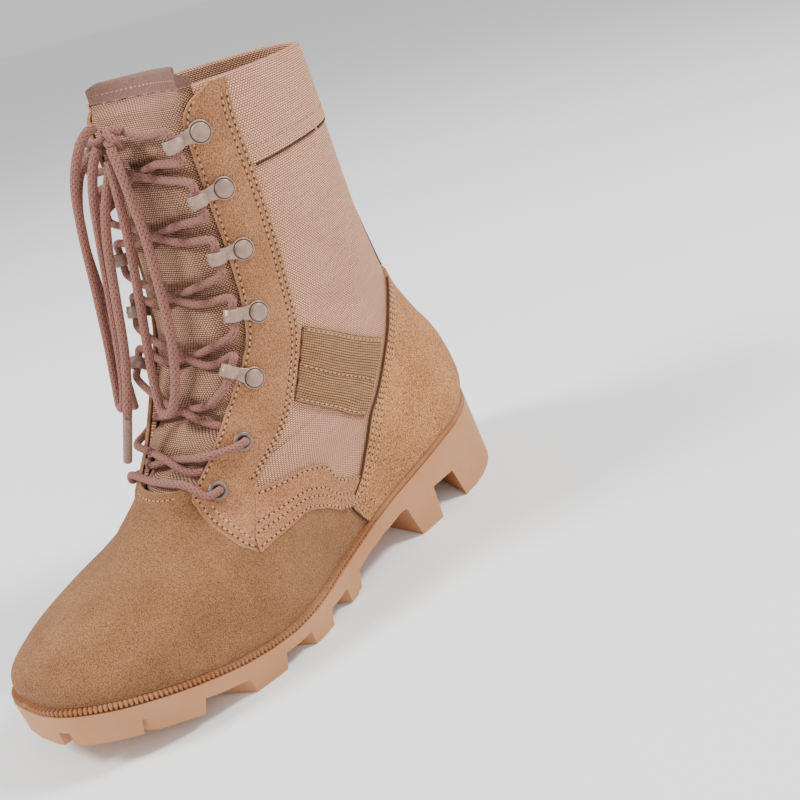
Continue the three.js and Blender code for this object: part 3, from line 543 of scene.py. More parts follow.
class Graph:
    """Adds nodes and links to one node tree in few words."""

    def __init__(self, tree: bpy.types.NodeTree) -> None:
        """Works on the given tree."""
        self.tree = tree

    def add(self, kind: str, **settings: object) -> Node:
        """Adds a node of a kind, with its settings."""
        node = self.tree.nodes.new(kind)
        for name, value in settings.items():
            setattr(node, name, value)
        return node

    def feed(self, socket: Socket, value: object) -> None:
        """Links an output to an input, or sets the input to a plain value."""
        if isinstance(value, Socket):
            self.tree.links.new(value, socket)
        else:
            socket.default_value = value

    def math(self, operation: str, *values: object, clamp: bool = False) -> Socket:
        """A Math node's result."""
        node = self.add("ShaderNodeMath", operation=operation, use_clamp=clamp)
        for socket, value in zip(node.inputs, values):
            self.feed(socket, value)
        return node.outputs[0]

    def split(self, vector: Socket) -> tuple[Socket, ...]:
        """The three parts of a vector."""
        node = self.add("ShaderNodeSeparateXYZ")
        self.feed(node.inputs[0], vector)
        return tuple(node.outputs)

    def scaled(self, vector: Socket, scale: Sequence[float]) -> Socket:
        """A vector multiplied by three numbers."""
        node = self.add("ShaderNodeVectorMath", operation="MULTIPLY")
        self.feed(node.inputs[0], vector)
        node.inputs[1].default_value = scale
        return node.outputs[0]

    def noise(self, vector: object, scale: object, detail: float = 2.0, rough: float = 0.5) -> Socket:
        """A noise pattern's value."""
        node = self.add("ShaderNodeTexNoise")
        self.feed(node.inputs["Vector"], vector)
        self.feed(node.inputs["Scale"], scale)
        node.inputs["Detail"].default_value = detail
        node.inputs["Roughness"].default_value = rough
        return node.outputs["Fac"]

    def ramp(
        self, value: object, low: float, high: float, to_low: float = 0.0, to_high: float = 1.0
    ) -> Socket:
        """A value carried from one range to another and held there."""
        node = self.add("ShaderNodeMapRange")
        for socket, given in zip(node.inputs, (value, low, high, to_low, to_high)):
            self.feed(socket, given)
        return node.outputs[0]

    def mix(self, share: object, first: object, second: object, blend: str = "MIX") -> Socket:
        """A mix of two colours."""
        node = self.add("ShaderNodeMix", data_type="RGBA", blend_type=blend)
        self.feed(node.inputs[0], share)
        for socket, value in ((node.inputs[6], first), (node.inputs[7], second)):
            self.feed(socket, (*value, 1.0) if isinstance(value, tuple) else value)
        return node.outputs[2]

    def group(self, made: bpy.types.NodeTree, **inputs: object) -> Node:
        """Places a shared effect with its input values."""
        node = self.add("ShaderNodeGroup", node_tree=made)
        for name, value in inputs.items():
            self.feed(node.inputs[name.replace("_", " ").capitalize()], value)
        return node


def effect(
    name: str, inputs: dict[str, str], outputs: Sequence[str], build: Callable[[Graph, dict], dict]
) -> bpy.types.NodeTree:
    """Makes a shader node group once.

    Args:
        name: The group's name.
        inputs: Socket kind, Float or Vector, of each named input.
        outputs: Names of the values it puts out.
        build: Adds the nodes and returns the output values by name.

    Returns:
        The group.
    """
    found = bpy.data.node_groups.get(name)
    if found:
        return found
    tree = bpy.data.node_groups.new(name, "ShaderNodeTree")
    for label, kind in inputs.items():
        tree.interface.new_socket(name=label, in_out="INPUT", socket_type="NodeSocket" + kind)
    for label in outputs:
        tree.interface.new_socket(name=label, in_out="OUTPUT", socket_type="NodeSocketFloat")
    graph = Graph(tree)
    source, sink = graph.add("NodeGroupInput"), graph.add("NodeGroupOutput")
    made = build(graph, {label: source.outputs[label] for label in inputs})
    for label in outputs:
        tree.links.new(made[label], sink.inputs[label])
    return tree


def weave_effect() -> bpy.types.NodeTree:
    """Plain weave on a UV map: Height of its staggered knuckles, and Gap between them."""

    def build(g: Graph, given: dict) -> dict:
        """Lays staggered knuckles in rows."""
        x, y, _ = g.split(given["Vector"])
        row = g.math("DIVIDE", y, g.math("MULTIPLY", given["Pitch"], 0.6))
        shift = g.math("MULTIPLY", g.math("MODULO", g.math("FLOOR", g.math("ADD", row, 4000.0)), 2.0), 0.5)
        step = g.math("ADD", g.math("DIVIDE", x, given["Pitch"]), shift)
        across = g.math("ABSOLUTE", g.math("SINE", g.math("MULTIPLY", step, math.pi)))
        along = g.math("ABSOLUTE", g.math("SINE", g.math("MULTIPLY", row, math.pi)))
        height = g.math("POWER", g.math("MULTIPLY", across, along), 0.6)
        return {"Height": height, "Gap": g.ramp(height, 0.68, 0.26)}

    return effect("Plain weave", {"Vector": "Vector", "Pitch": "Float"}, ("Height", "Gap"), build)


def nap_effect() -> bpy.types.NodeTree:
    """Suede: Height of its short nap, fine light and dark Speckle, and broad Shade where it is brushed."""

    def build(g: Graph, given: dict) -> dict:
        """Mixes fine, coarse and broad noise."""
        fine = g.noise(given["Vector"], given["Scale"], 3.0, 0.7)
        coarse = g.noise(given["Vector"], g.math("MULTIPLY", given["Scale"], 0.35), 2.0, 0.6)
        broad = g.noise(given["Vector"], g.math("MULTIPLY", given["Scale"], 0.03), 3.0, 0.55)
        height = g.math("ADD", g.math("MULTIPLY", fine, 0.6), g.math("MULTIPLY", coarse, 0.4))
        return {"Height": height, "Speckle": g.ramp(fine, 0.36, 0.64), "Shade": g.ramp(broad, 0.3, 0.7)}

    return effect("Suede nap", {"Vector": "Vector", "Scale": "Float"}, ("Height", "Speckle", "Shade"), build)


def braid_effect() -> bpy.types.NodeTree:
    """Round braid on a cord's UV map: Height of its strands, and its Right and Left ways."""

    def build(g: Graph, given: dict) -> dict:
        """Crosses strands that wind to the right and to the left."""
        x, y, _ = g.split(given["Vector"])
        turn = g.math("MULTIPLY", x, given["Round"])
        run = g.math("DIVIDE", g.math("MULTIPLY", y, 2 * math.pi), given["Pitch"])
        right = g.math("SINE", g.math("ADD", turn, run))
        left = g.math("SINE", g.math("SUBTRACT", turn, run))
        height = g.math("MULTIPLY_ADD", g.math("MULTIPLY", right, left), 0.5, 0.5)
        return {"Height": height, "Right": g.ramp(right, -0.2, 0.9), "Left": g.ramp(left, 0.1, 0.9)}

    inputs = {"Vector": "Vector", "Round": "Float", "Pitch": "Float"}
    return effect("Round braid", inputs, ("Height", "Right", "Left"), build)


def dust_effect() -> bpy.types.NodeTree:
    """Handling marks: Dust in soft patches, with fine Grit in it."""

    def build(g: Graph, given: dict) -> dict:
        """Mixes broad patches with fine grit."""
        patch = g.noise(given["Vector"], given["Scale"], 4.0, 0.6)
        grit = g.noise(given["Vector"], g.math("MULTIPLY", given["Scale"], 22.0), 2.0, 0.6)
        return {"Dust": g.ramp(patch, 0.42, 0.72), "Grit": grit}

    return effect("Dust", {"Vector": "Vector", "Scale": "Float"}, ("Dust", "Grit"), build)


def tint(colour: Colour, factor: float) -> Colour:
    """A lighter or darker shade of a colour."""
    red, green, blue = (min(1.0, part * factor) for part in colour)
    return red, green, blue


@dataclass(frozen=True)
class Finish:
    """A named material made of nodes."""

    name: str = "finish"
    slot: str = "canvas"
    colour: Colour = (0.5, 0.5, 0.5)

    def material(self) -> bpy.types.Material:
        """The material, made on its first use."""
        found = bpy.data.materials.get(self.name)
        if found:
            return found
        made = bpy.data.materials.new(self.name)
        made.use_nodes = True
        graph = Graph(made.node_tree)
        shader = made.node_tree.nodes["Principled BSDF"]
        self.dress(graph, shader)
        return made

    def dress(self, graph: Graph, shader: Node) -> None:
        """Adds the finish's own nodes to the shader."""

    def shaded(self, graph: Graph, pattern: Socket, dark: float, light: float) -> Socket:
        """The finish's colour, running between a darker and a lighter shade as a pattern does."""
        return graph.mix(graph.ramp(pattern, 0.3, 0.7), tint(self.colour, dark), tint(self.colour, light))

    @staticmethod
    def gloss(shader: Node, specular: float, sheen: float = 0.0) -> None:
        """Sets how strongly the surface mirrors, and its sheen."""
        shader.inputs["Specular IOR Level"].default_value = specular
        shader.inputs["Sheen Weight"].default_value = sheen

    @staticmethod
    def places(graph: Graph) -> Socket:
        """The surface's place in the boot's frame."""
        return graph.add("ShaderNodeTexCoord").outputs["Object"]

    @staticmethod
    def cloth(graph: Graph) -> Socket:
        """The surface's own UV map, in metres."""
        return graph.add("ShaderNodeUVMap", uv_map="cloth").outputs[0]

    @staticmethod
    def edge(graph: Graph, width: float) -> Socket:
        """A mask, 1 at a piece's cut border and 0 from width millimetres in."""
        distance = graph.add("ShaderNodeAttribute", attribute_name="edge").outputs["Fac"]
        return graph.ramp(distance, 0.0, width, 1.0, 0.0)

    @staticmethod
    def relief(
        graph: Graph,
        shader: Node,
        height: Socket,
        depth: float,
        strength: float = 1.0,
    ) -> None:
        """Feeds a height, depth millimetres deep, to the shader's normal."""
        node = graph.add("ShaderNodeBump")
        node.inputs["Strength"].default_value = strength
        node.inputs["Distance"].default_value = depth * MM
        graph.feed(node.inputs["Height"], height)
        graph.feed(shader.inputs["Normal"], node.outputs[0])


@dataclass(frozen=True)
class Suede(Finish):
    """Rough-out leather with a short brushed nap and paler cut edges."""

    colour: Colour = (0.42, 0.25, 0.15)
    pale: Colour = (0.46, 0.27, 0.15)
    grain: float = 1000.0
    speckle: float = 0.5
    depth: float = 0.7

    def dress(self, graph: Graph, shader: Node) -> None:
        """Adds the nap, its shades and the cut edge."""
        nap = graph.group(nap_effect(), vector=self.places(graph), scale=self.grain)
        dark, light = tint(self.colour, 1 - self.speckle), tint(self.colour, 1 + 0.75 * self.speckle)
        colour = graph.mix(nap.outputs["Speckle"], dark, light)
        brushed = graph.mix(nap.outputs["Shade"], (0.86, 0.84, 0.82), (1.08, 1.07, 1.06))
        colour = graph.mix(1.0, colour, brushed, "MULTIPLY")
        dust = graph.group(dust_effect(), vector=self.places(graph), scale=38.0)
        colour = graph.mix(graph.math("MULTIPLY", dust.outputs["Dust"], 0.07), colour, self.pale)
        cut = graph.math("MULTIPLY", self.edge(graph, 0.9), 0.4)
        graph.feed(shader.inputs["Base Color"], graph.mix(cut, colour, self.pale))
        graph.feed(shader.inputs["Roughness"], graph.ramp(nap.outputs["Speckle"], 0.0, 1.0, 0.98, 0.86))
        self.gloss(shader, 0.15, 0.05)
        self.relief(graph, shader, nap.outputs["Height"], self.depth)


@dataclass(frozen=True)
class Canvas(Finish):
    """Coarse nylon in plain weave, its yarns shiny on top with a painted highlight there, and painted shade
    between them.
    """

    colour: Colour = (0.62, 0.42, 0.32)
    # gap: colour of the painted shade between the yarns, and of the dust
    gap: Colour = (0.22, 0.12, 0.085)
    pitch: float = 1.3

    def dress(self, graph: Graph, shader: Node) -> None:
        """Adds the weave, its yarn shades, a painted highlight on the yarns' tops, painted shade between
        them, and its relief.
        """
        cloth = self.cloth(graph)
        weave = graph.group(weave_effect(), vector=cloth, pitch=self.pitch * MM)
        yarns = graph.noise(graph.scaled(cloth, (60, 1400, 1)), 1.0, 2.0)
        colour = self.shaded(graph, yarns, 0.84, 1.16)
        # Painted highlight: the yarns' tops are made lighter. Painted shade: the gaps between yarns are made
        # darker.
        top = graph.ramp(weave.outputs["Height"], 0.55, 1.0)
        colour = graph.mix(graph.math("MULTIPLY", top, 0.35), colour, tint(self.colour, 1.35))
        colour = graph.mix(weave.outputs["Gap"], colour, self.gap)
        dust = graph.group(dust_effect(), vector=self.places(graph), scale=26.0)
        colour = graph.mix(graph.math("MULTIPLY", dust.outputs["Dust"], 0.12), colour, self.gap)
        graph.feed(shader.inputs["Base Color"], colour)
        graph.feed(shader.inputs["Roughness"], graph.ramp(top, 0.0, 1.0, 0.92, 0.62))
        self.gloss(shader, 0.3, 0.05)
        self.relief(graph, shader, weave.outputs["Height"], self.pitch * 0.5)


@dataclass(frozen=True)
class Webbing(Finish):
    """Woven band with ribs across it, each rib a row of small knuckles, with painted shade between them."""

    colour: Colour = (0.378, 0.187, 0.081)
    # gap: colour of the painted shade between ribs and knuckles
    gap: Colour = (0.05, 0.025, 0.012)
    rib: float = 1.35
    knuckle: float = 1.6

    def dress(self, graph: Graph, shader: Node) -> None:
        """Adds the ribs and their knuckles, with painted shade between them."""
        x, y, _ = graph.split(self.cloth(graph))
        across = graph.math("SINE", graph.math("MULTIPLY", y, math.pi / (self.rib * MM)))
        along = graph.math("SINE", graph.math("MULTIPLY", x, math.pi / (self.knuckle * MM)))
        rib = graph.math("ABSOLUTE", across)
        knuckles = graph.math("MULTIPLY_ADD", graph.math("ABSOLUTE", along), 0.7, 0.3)
        height = graph.math("MULTIPLY", rib, knuckles)
        shades = graph.noise(graph.scaled(self.cloth(graph), (140, 900, 1)), 1.0, 3.0)
        colour = self.shaded(graph, shades, 0.78, 1.25)
        # Painted shade: darker where the surface sinks between ribs and knuckles.
        colour = graph.mix(graph.ramp(height, 0.6, 0.1), colour, self.gap)
        graph.feed(shader.inputs["Base Color"], colour)
        graph.feed(shader.inputs["Roughness"], graph.ramp(height, 0.0, 1.0, 0.95, 0.7))
        self.gloss(shader, 0.25, 0.05)
        self.relief(graph, shader, height, 0.35)


@dataclass(frozen=True)
class Rubber(Finish):
    """Moulded rubber, matt, with fine pits and scuffs."""

    colour: Colour = (0.462, 0.211, 0.094)
    scuff: Colour = (0.54, 0.31, 0.19)

    def dress(self, graph: Graph, shader: Node) -> None:
        """Adds the mottle, the pits and the scuffs."""
        places = self.places(graph)
        dust = graph.group(dust_effect(), vector=places, scale=30.0)
        mottle = graph.noise(places, 14.0, 3.0)
        colour = self.shaded(graph, mottle, 0.92, 1.06)
        colour = graph.mix(graph.math("MULTIPLY", dust.outputs["Dust"], 0.3), colour, self.scuff)
        graph.feed(shader.inputs["Base Color"], colour)
        graph.feed(shader.inputs["Roughness"], graph.ramp(dust.outputs["Grit"], 0.3, 0.7, 0.5, 0.66))
        self.gloss(shader, 0.22)
        pits = graph.noise(places, 900.0, 2.0, 0.6)
        waves = graph.math("MULTIPLY", graph.noise(places, 60.0, 2.0), 2.5)
        self.relief(graph, shader, graph.math("ADD", pits, waves), 0.12, 0.6)


@dataclass(frozen=True)
class Paint(Finish):
    """Satin paint on metal, rubbed a little paler in patches."""

    colour: Colour = (0.306, 0.196, 0.148)
    rubbed: Colour = (0.49, 0.338, 0.275)

    def dress(self, graph: Graph, shader: Node) -> None:
        """Adds the rubbed patches and the paint's unevenness."""
        places = self.places(graph)
        patches = graph.ramp(graph.noise(places, 260.0, 3.0), 0.4, 0.65)
        worn = graph.math("MULTIPLY", patches, 0.55)
        graph.feed(shader.inputs["Base Color"], graph.mix(worn, self.colour, self.rubbed))
        graph.feed(shader.inputs["Roughness"], graph.ramp(patches, 0.0, 1.0, 0.34, 0.48))
        graph.feed(shader.inputs["Metallic"], graph.ramp(patches, 0.0, 1.0, 0.25, 0.45))
        self.relief(graph, shader, graph.noise(places, 700.0, 2.0), 0.06, 0.5)


@dataclass(frozen=True)
class Cord(Finish):
    """Round braided cord."""

    colour: Colour = (0.27, 0.118, 0.09)
    # gap: colour of the painted shade in the braid's gaps and on its left-winding strands
    gap: Colour = (0.07, 0.03, 0.022)
    carriers: int = 6
    pitch: float = 3.1

    def dress(self, graph: Graph, shader: Node) -> None:
        """Adds the braid's painted shade in its gaps and on the strands that wind to the left, a painted
        highlight on those that wind to the right, and the fibres' shades.
        """
        cloth = self.cloth(graph)
        turns = 2 * math.pi * self.carriers / (math.pi * SIZES.lace * MM)
        braid = graph.group(braid_effect(), vector=cloth, round=turns, pitch=self.pitch * MM)
        fibres = graph.noise(self.places(graph), 1600.0, 2.0, 0.7)
        colour = self.shaded(graph, fibres, 0.8, 1.28)
        # Painted highlight on the right-winding strands, and painted shade on the left-winding strands and in
        # the gaps between strands.
        strand_highlight = graph.math("MULTIPLY", braid.outputs["Right"], 0.38)
        colour = graph.mix(strand_highlight, colour, tint(self.colour, 1.9))
        colour = graph.mix(graph.math("MULTIPLY", braid.outputs["Left"], 0.42), colour, self.gap)
        colour = graph.mix(graph.ramp(braid.outputs["Height"], 0.3, 0.05, 0.0, 0.7), colour, self.gap)
        graph.feed(shader.inputs["Base Color"], colour)
        shader.inputs["Roughness"].default_value = 0.85
        self.gloss(shader, 0.2, 0.08)
        height = graph.math("ADD", braid.outputs["Height"], graph.math("MULTIPLY", fibres, 0.4))
        self.relief(graph, shader, height, 0.3)


@dataclass(frozen=True)
class Fleck(Finish):
    """Plain finish with a fine shade in it, for threads, tips and foam, and for the painted shade of needle
    holes, seams, edges and rivet grooves.
    """

    colour: Colour = (0.72, 0.52, 0.36)
    rough: float = 0.85
    scale: float = 900.0

    def dress(self, graph: Graph, shader: Node) -> None:
        """Adds the shade and a slight relief."""
        shade = graph.noise(self.places(graph), self.scale, 2.0)
        graph.feed(shader.inputs["Base Color"], self.shaded(graph, shade, 0.78, 1.18))
        low, high = self.rough - 0.06, self.rough + 0.06
        graph.feed(shader.inputs["Roughness"], graph.ramp(shade, 0.0, 1.0, low, high))
        self.gloss(shader, 0.25)
        self.relief(graph, shader, shade, 0.12)


SUEDE = Suede(name="vamp suede", slot="suede", colour=(0.275, 0.130, 0.057), grain=1900.0, speckle=0.62)
FACING_SUEDE = Suede(
    name="facing suede",
    slot="suede",
    colour=(0.395, 0.184, 0.088),
    grain=1900.0,
    depth=0.6,
    speckle=0.65,
)
COUNTER_SUEDE = Suede(
    name="counter suede",
    slot="suede",
    colour=(0.460, 0.206, 0.078),
    grain=1250.0,
    speckle=0.8,
)
SADDLE_SUEDE = Suede(
    name="saddle suede",
    slot="suede",
    colour=(0.41, 0.182, 0.086),
    grain=1700.0,
    speckle=0.65,
)
CANVAS = Canvas(
    name="quarter canvas",
    slot="canvas",
    colour=(0.95, 0.46, 0.285),
    gap=(0.26, 0.09, 0.052),
    pitch=1.55,
)
TONGUE_CANVAS = Canvas(
    name="tongue canvas",
    slot="canvas",
    colour=(0.66, 0.34, 0.21),
    gap=(0.08, 0.034, 0.022),
    pitch=1.65,
)
LINING = Canvas(
    name="lining canvas",
    slot="canvas",
    colour=(0.24, 0.145, 0.09),
    gap=(0.06, 0.03, 0.02),
    pitch=1.7,
)
BINDING = Suede(
    name="tongue binding",
    slot="suede",
    colour=(0.204, 0.108, 0.086),
    pale=(0.28, 0.17, 0.135),
    grain=900.0,
    speckle=0.2,
)
WEBBING = Webbing(name="ankle webbing", slot="webbing")
BACK_WEBBING = Webbing(
    name="back webbing",
    slot="webbing",
    colour=(0.17, 0.13, 0.085),
    gap=(0.07, 0.05, 0.03),
)
RUBBER = Rubber(name="sole rubber", slot="sole_rubber")
WELT_RUBBER = Rubber(name="welt rubber", slot="welt_rubber", colour=(0.305, 0.122, 0.048))
PAINT = Paint(name="hardware paint", slot="hardware")
# Painted shade for the thin dark tubes along the collar's seam and the counter's edges.
EDGE_SHADE = Fleck(name="painted edge shade", slot="suede", colour=(0.075, 0.034, 0.016))
EYELET_PAINT = Paint(
    name="eyelet paint",
    slot="hardware",
    colour=(0.17, 0.115, 0.085),
    rubbed=(0.33, 0.24, 0.19),
)
CORD = Cord(name="braided cord", slot="lace")
THREAD = Fleck(name="pale thread", slot="suede", colour=(0.56, 0.34, 0.19))
# Painted shade for the needle holes at the ends of each stitch.
NEEDLE_HOLE_SHADE = Fleck(name="needle hole", slot="suede", colour=(0.075, 0.03, 0.014))
# Painted shade for the groove between a rivet's dome and its washer.
RIVET_GROOVE_SHADE = Fleck(name="rivet groove shade", slot="hardware", colour=(0.07, 0.05, 0.04))
TIP = Fleck(name="lace tip", slot="aglet", colour=(0.30, 0.18, 0.14), rough=0.45)
FOAM = Fleck(name="insole cloth", slot="insole_foam", colour=(0.20, 0.15, 0.115), scale=700.0)


# ---- stitches -------------------------------------------------------------------------------------


@dataclass
class Stitching:
    """Rows of lock stitches gathered into one mesh, each stitch between two needle holes painted as flat dark
    discs of shade.
    """

    name: str
    pitch: float = 3.3
    length: float = 2.3
    thick: float = 0.8
    hole: float = 1.15
    builder: BMesh = field(default_factory=bmesh.new)

    def row(self, line: Array, outs: Array) -> None:
        """Sews along a line.

        Args:
            line: Points of the line in millimetres.
            outs: Directions out of the surface at those points.
        """
        along = resample(np.hstack([line, outs]), self.pitch)
        points, out = along[:, :3], unit(along[:, 3:])
        part = bmesh.new()
        for i in range(len(points) - 1):
            way = points[i + 1] - points[i]
            stand = placing((points[i] + points[i + 1]) / 2 + out[i] * 0.05, way, out[i])
            self._add(part, stand @ Matrix.Diagonal((self.length, self.thick, self.thick * 0.75, 1)), 6, 5, 0)
            # A flat dark disc at each needle hole: painted shade of the hole.
            stand = placing(points[i] + out[i] * 0.02, way, out[i])
            self._add(part, stand @ Matrix.Diagonal((self.hole, self.hole, 0.3, 1)), 6, 3, 1)
        merge_in(self.builder, part)

    @staticmethod
    def _add(part: BMesh, matrix: Matrix, around: int, along: int, material: int) -> None:
        """Adds one small rounded body to the mesh."""
        made = bmesh.ops.create_uvsphere(
            part, u_segments=around, v_segments=along, radius=0.5 * MM, matrix=matrix
        )
        if material:
            for face in {face for vert in made["verts"] for face in vert.link_faces}:
                face.material_index = material

    def finish(self) -> Piece:
        """Makes the object of all rows sewn so far."""
        return settle(new_object(self.name, self.builder, (THREAD, NEEDLE_HOLE_SHADE)))


# ---- upper ----------------------------------------------------------------------------------------


# Arcs from the front line to a facing's two edges.
FACING = Table(
    ("v", "front", "back"),
    [
        (0.37, 48, 60), (0.42, 31, 61), (0.458, 23.5, 64), (0.5, 27, 69), (0.575, 33.5, 70),
        (0.625, 38.2, 69), (0.665, 40.2, 66.3), (0.717, 38.4, 62.4), (0.773, 36.1, 59.7), (0.866, 33.8, 57),
        (0.93, 34.2, 56.5), (0.965, 38, 57.5), (1, 50, 58.5),
    ],
)
# The same below the throat, where the facing ends in a tab over the saddle, and how far it stands off.
FACING_TAB = Table(
    ("v", "front", "back", "lift"),
    [
        (0.18, 106, 114, 1.0), (0.23, 89.5, 105, 1.0), (0.288, 72, 96, 1.0), (0.33, 59.5, 86, 1.05),
        (0.364, 49, 76, 1.15), (0.395, 39, 66, 1.6), (0.424, 30.7, 62, 2.2), (0.458, 23.5, 64, 2.35),
        (0.47, 24, 65.2, 2.35),
    ],
)
# Arc from the back line to the heel counter's front edge.
COUNTER = Table(
    ("v", "reach"),
    [
        (0, 141), (0.037, 148), (0.075, 153), (0.126, 141), (0.185, 130), (0.29, 108), (0.334, 93),
        (0.415, 67), (0.464, 51), (0.51, 36), (0.545, 20),
    ],
)
# The saddle's lower and upper borders from its front end (u = 0) to its back end.
SADDLE = Table(
    ("u", "low_v", "low_arc", "high_v", "high_arc"),
    [
        (0, 0.174, 108, 0.395, 66), (0.25, 0.179, 118.5, 0.372, 84), (0.5, 0.18, 135, 0.345, 104),
        (0.75, 0.144, 156, 0.275, 137), (0.9, 0.1, 174, 0.18, 166), (1, 0.045, 204, 0.1, 204),
    ],
)
# Arc from the front line to the vamp's border.
VAMP = Table(
    ("v", "reach"),
    [
        (0, 202), (0.06, 200), (0.12, 184), (0.21, 147), (0.26, 115), (0.3, 82), (0.36, 55), (0.42, 34),
        (0.458, 24), (0.476, 18),
    ],
)


@dataclass(frozen=True)
class Crease:
    """A soft trough (or, with a negative depth, a ridge) across cloth or leather.

    It runs between two places given as v and arc from the front line, outer side positive.
    """

    start: tuple[float, float]
    end: tuple[float, float]
    depth: float
    width: float

    def press(self, points: Array) -> Array:
        """Depth of the trough at points of the skin."""
        v = np.linspace(self.start[0], self.end[0], 7)
        arc = np.linspace(self.start[1], self.end[1], 7)
        line, _ = LAST.at(v, arc)
        share = np.linspace(0, 1, 60)
        line = np.stack([np.interp(share, np.linspace(0, 1, 7), line[:, k]) for k in range(3)], axis=1)
        gaps = np.linalg.norm(points[:, None, :] - line[None], axis=2)
        nearest = gaps.argmin(1)
        fade = np.sin(np.pi * np.clip(share[nearest], 0.02, 0.98)) ** 0.6
        return self.depth * fade * bump(gaps.min(1), self.width)


@dataclass
class Upper:
    """Everything sewn into the upper: canvas quarters, collar, lining, suede overlays and webbing."""

    quarter_columns: int = 190
    quarter_rows: int = 120
    collar_v: float = 0.868
    creases: tuple[Crease, ...] = (
        Crease((0.655, 76), (0.57, 130), 2.2, 3.6),
        Crease((0.69, 76), (0.62, 126), -1.2, 4.5),
        Crease((0.73, 84), (0.66, 124), 1.6, 3.4),
        Crease((0.60, 108), (0.74, 138), 1.9, 3.4),
        Crease((0.60, -74), (0.50, -128), 1.1, 5.0),
        Crease((0.67, -72), (0.60, -124), -0.9, 6.0),
        Crease((0.72, -70), (0.66, -110), 0.8, 5.0),
        Crease((0.80, 78), (0.76, 130), 0.5, 9.0),
        Crease((0.82, -78), (0.75, -126), 0.5, 9.0),
    )
    vamp_creases: tuple[Crease, ...] = (
        Crease((0.462, -20), (0.40, -46), 0.9, 5.0),
        Crease((0.462, 20), (0.40, 46), 0.9, 5.0),
        Crease((0.40, -34), (0.38, 34), -0.7, 7.0),
        Crease((0.345, -46), (0.335, 44), 0.55, 6.0),
        Crease((0.25, -100), (0.20, -62), 0.45, 8.0),
        Crease((0.25, 98), (0.20, 60), 0.45, 8.0),
    )

    def build(self) -> None:
        """Builds each piece from the inside out, and sews them."""
        self.quarters()
        self.lining()
        self.collar()
        self.vamp()
        self.counter()
        self.backstay()
        for side in Side:
            self.facing(side)
            self.saddle(side)
            self.ankle_band(side)

    @staticmethod
    def worn(points: Array, creases: Sequence[Crease]) -> Array:
        """How far the creases press in at each point."""
        total = np.zeros(len(points))
        for crease in creases:
            total += crease.press(points)
        return np.clip(total, -1.2, 1.7)

    def quarters(self) -> None:
        """The canvas wall, closed below the throat and open above it."""

        def shape(u: Array, w: Array) -> Skin:
            """The wall, pressed in along its creases."""
            v, foot = w, SIZES.throat_v
            opening = FACING.read("front", np.maximum(v, foot)) + 0.6
            front = np.where(v < foot + 0.012, smooth((v - foot + 0.013) / 0.02) * opening, opening)
            flat, out = LAST.form(v, LAST.open_angle(v, front, u))
            tall = smooth((v - 0.03) / 0.1)
            return flat - out * (self.worn(flat, self.creases) * tall)[:, None], out

        piece = new_object("quarters", grid(self.quarter_columns, self.quarter_rows, shape), (CANVAS,))
        thicken(piece, SIZES.wall)
        settle(piece, "upper")

    def lining(self) -> None:
        """The cloth that lines the leg, with a seam down its back."""

        def shape(u: Array, w: Array) -> Skin:
            """The inner face of the wall, facing inward."""
            v = 0.47 + 0.525 * w
            angle = LAST.open_angle(v, FACING.read("front", v) + 1.5, u)
            flat, out = LAST.form(v, angle)
            press = np.maximum(0, self.worn(flat, self.creases))
            depth = SIZES.wall + 0.25 + 0.9 * bump(angle, 0.035) + press
            return flat - out * depth[:, None], -out

        piece = new_object("lining", grid(120, 60, shape), (LINING,))
        thicken(piece, 0.5, 0.1)
        settle(piece)

    def collar(self) -> None:
        """The top panel, folded over the rim, with a double row of stitches and a painted seam shadow where
        it meets the quarters.
        """
        low, top, inside = self.collar_v, 0.997, 0.955

        def shape(u: Array, w: Array) -> Skin:
            """Up the outside, over the rim and down the inside."""
            v = curve((0, 0.5, 0.62, 1), np.array([low, top, top, inside]), w)
            out = curve((0, 0.5, 0.62, 1), np.array([1.15, 1.0, -SIZES.wall - 0.9, -SIZES.wall - 0.9]), w)
            lift = 1.5 * np.sin(np.pi * np.clip((w - 0.48) / 0.16, 0, 1))
            outer = w < 0.56
            outside = FACING.read("front", np.minimum(v, SIZES.corner_v)) + 9
            inside_front = FACING.read("front", v) + 3
            angle = LAST.open_angle(v, np.where(outer, outside, inside_front), u)
            place, outward = LAST.form(v, angle)
            seam = 0.35 * (bump((w - 0.03) * 66, 1.0) + bump((w - 0.07) * 66, 1.0)) * (w < 0.3)
            place = place + outward * (out - seam - 0.4 * bump(angle, 0.05))[:, None]
            place[:, 2] += lift
            return place, outward * np.where(outer, 1, -1)[:, None]

        piece = new_object("collar", grid(160, 40, shape), (CANVAS,))
        thicken(piece, 0.7, 0.2)
        settle(piece)
        # Thin dark tubes along the seam under the panel: a painted shadow of the seam.
        builder = bmesh.new()
        runs = [LAST.at(low - 0.003, side.value * np.linspace(60, 108, 100), 0.35) for side in Side]
        runs.append(LAST.at(low - 0.003, np.linspace(-45, 45, 120), 0.35, back=True))
        for place, _ in runs:
            cord_tube(builder, resample(place, 1.0), 1.0)
        settle(new_object("collar_seam_shadow", builder, (EDGE_SHADE,)))
        rows = Stitching("collar_stitches", pitch=2.6, length=1.9, thick=0.6, hole=0.5)
        for v in (low + 0.005, low + 0.016):
            for side in Side:
                rows.row(*LAST.at(v, side.value * np.linspace(60, 112, 60), 0.9))
            rows.row(*LAST.at(v, np.linspace(-42, 42, 60), 0.9, back=True))
        rows.finish()

    def vamp(self) -> None:
        """The suede toe and vamp, up to the foot of the throat."""

        def shape(u: Array, w: Array) -> Skin:
            """The toe and the vamp, tucked in at the sole."""
            v = VAMP.last * w
            arc = VAMP.read("reach", v) * (2 * u - 1)
            flat, out = LAST.at(v, arc)
            press = self.worn(flat, self.vamp_creases)
            tucked = 0.5 * bump(w, 0.03)
            return flat + out * (1.0 - press - tucked)[:, None], out

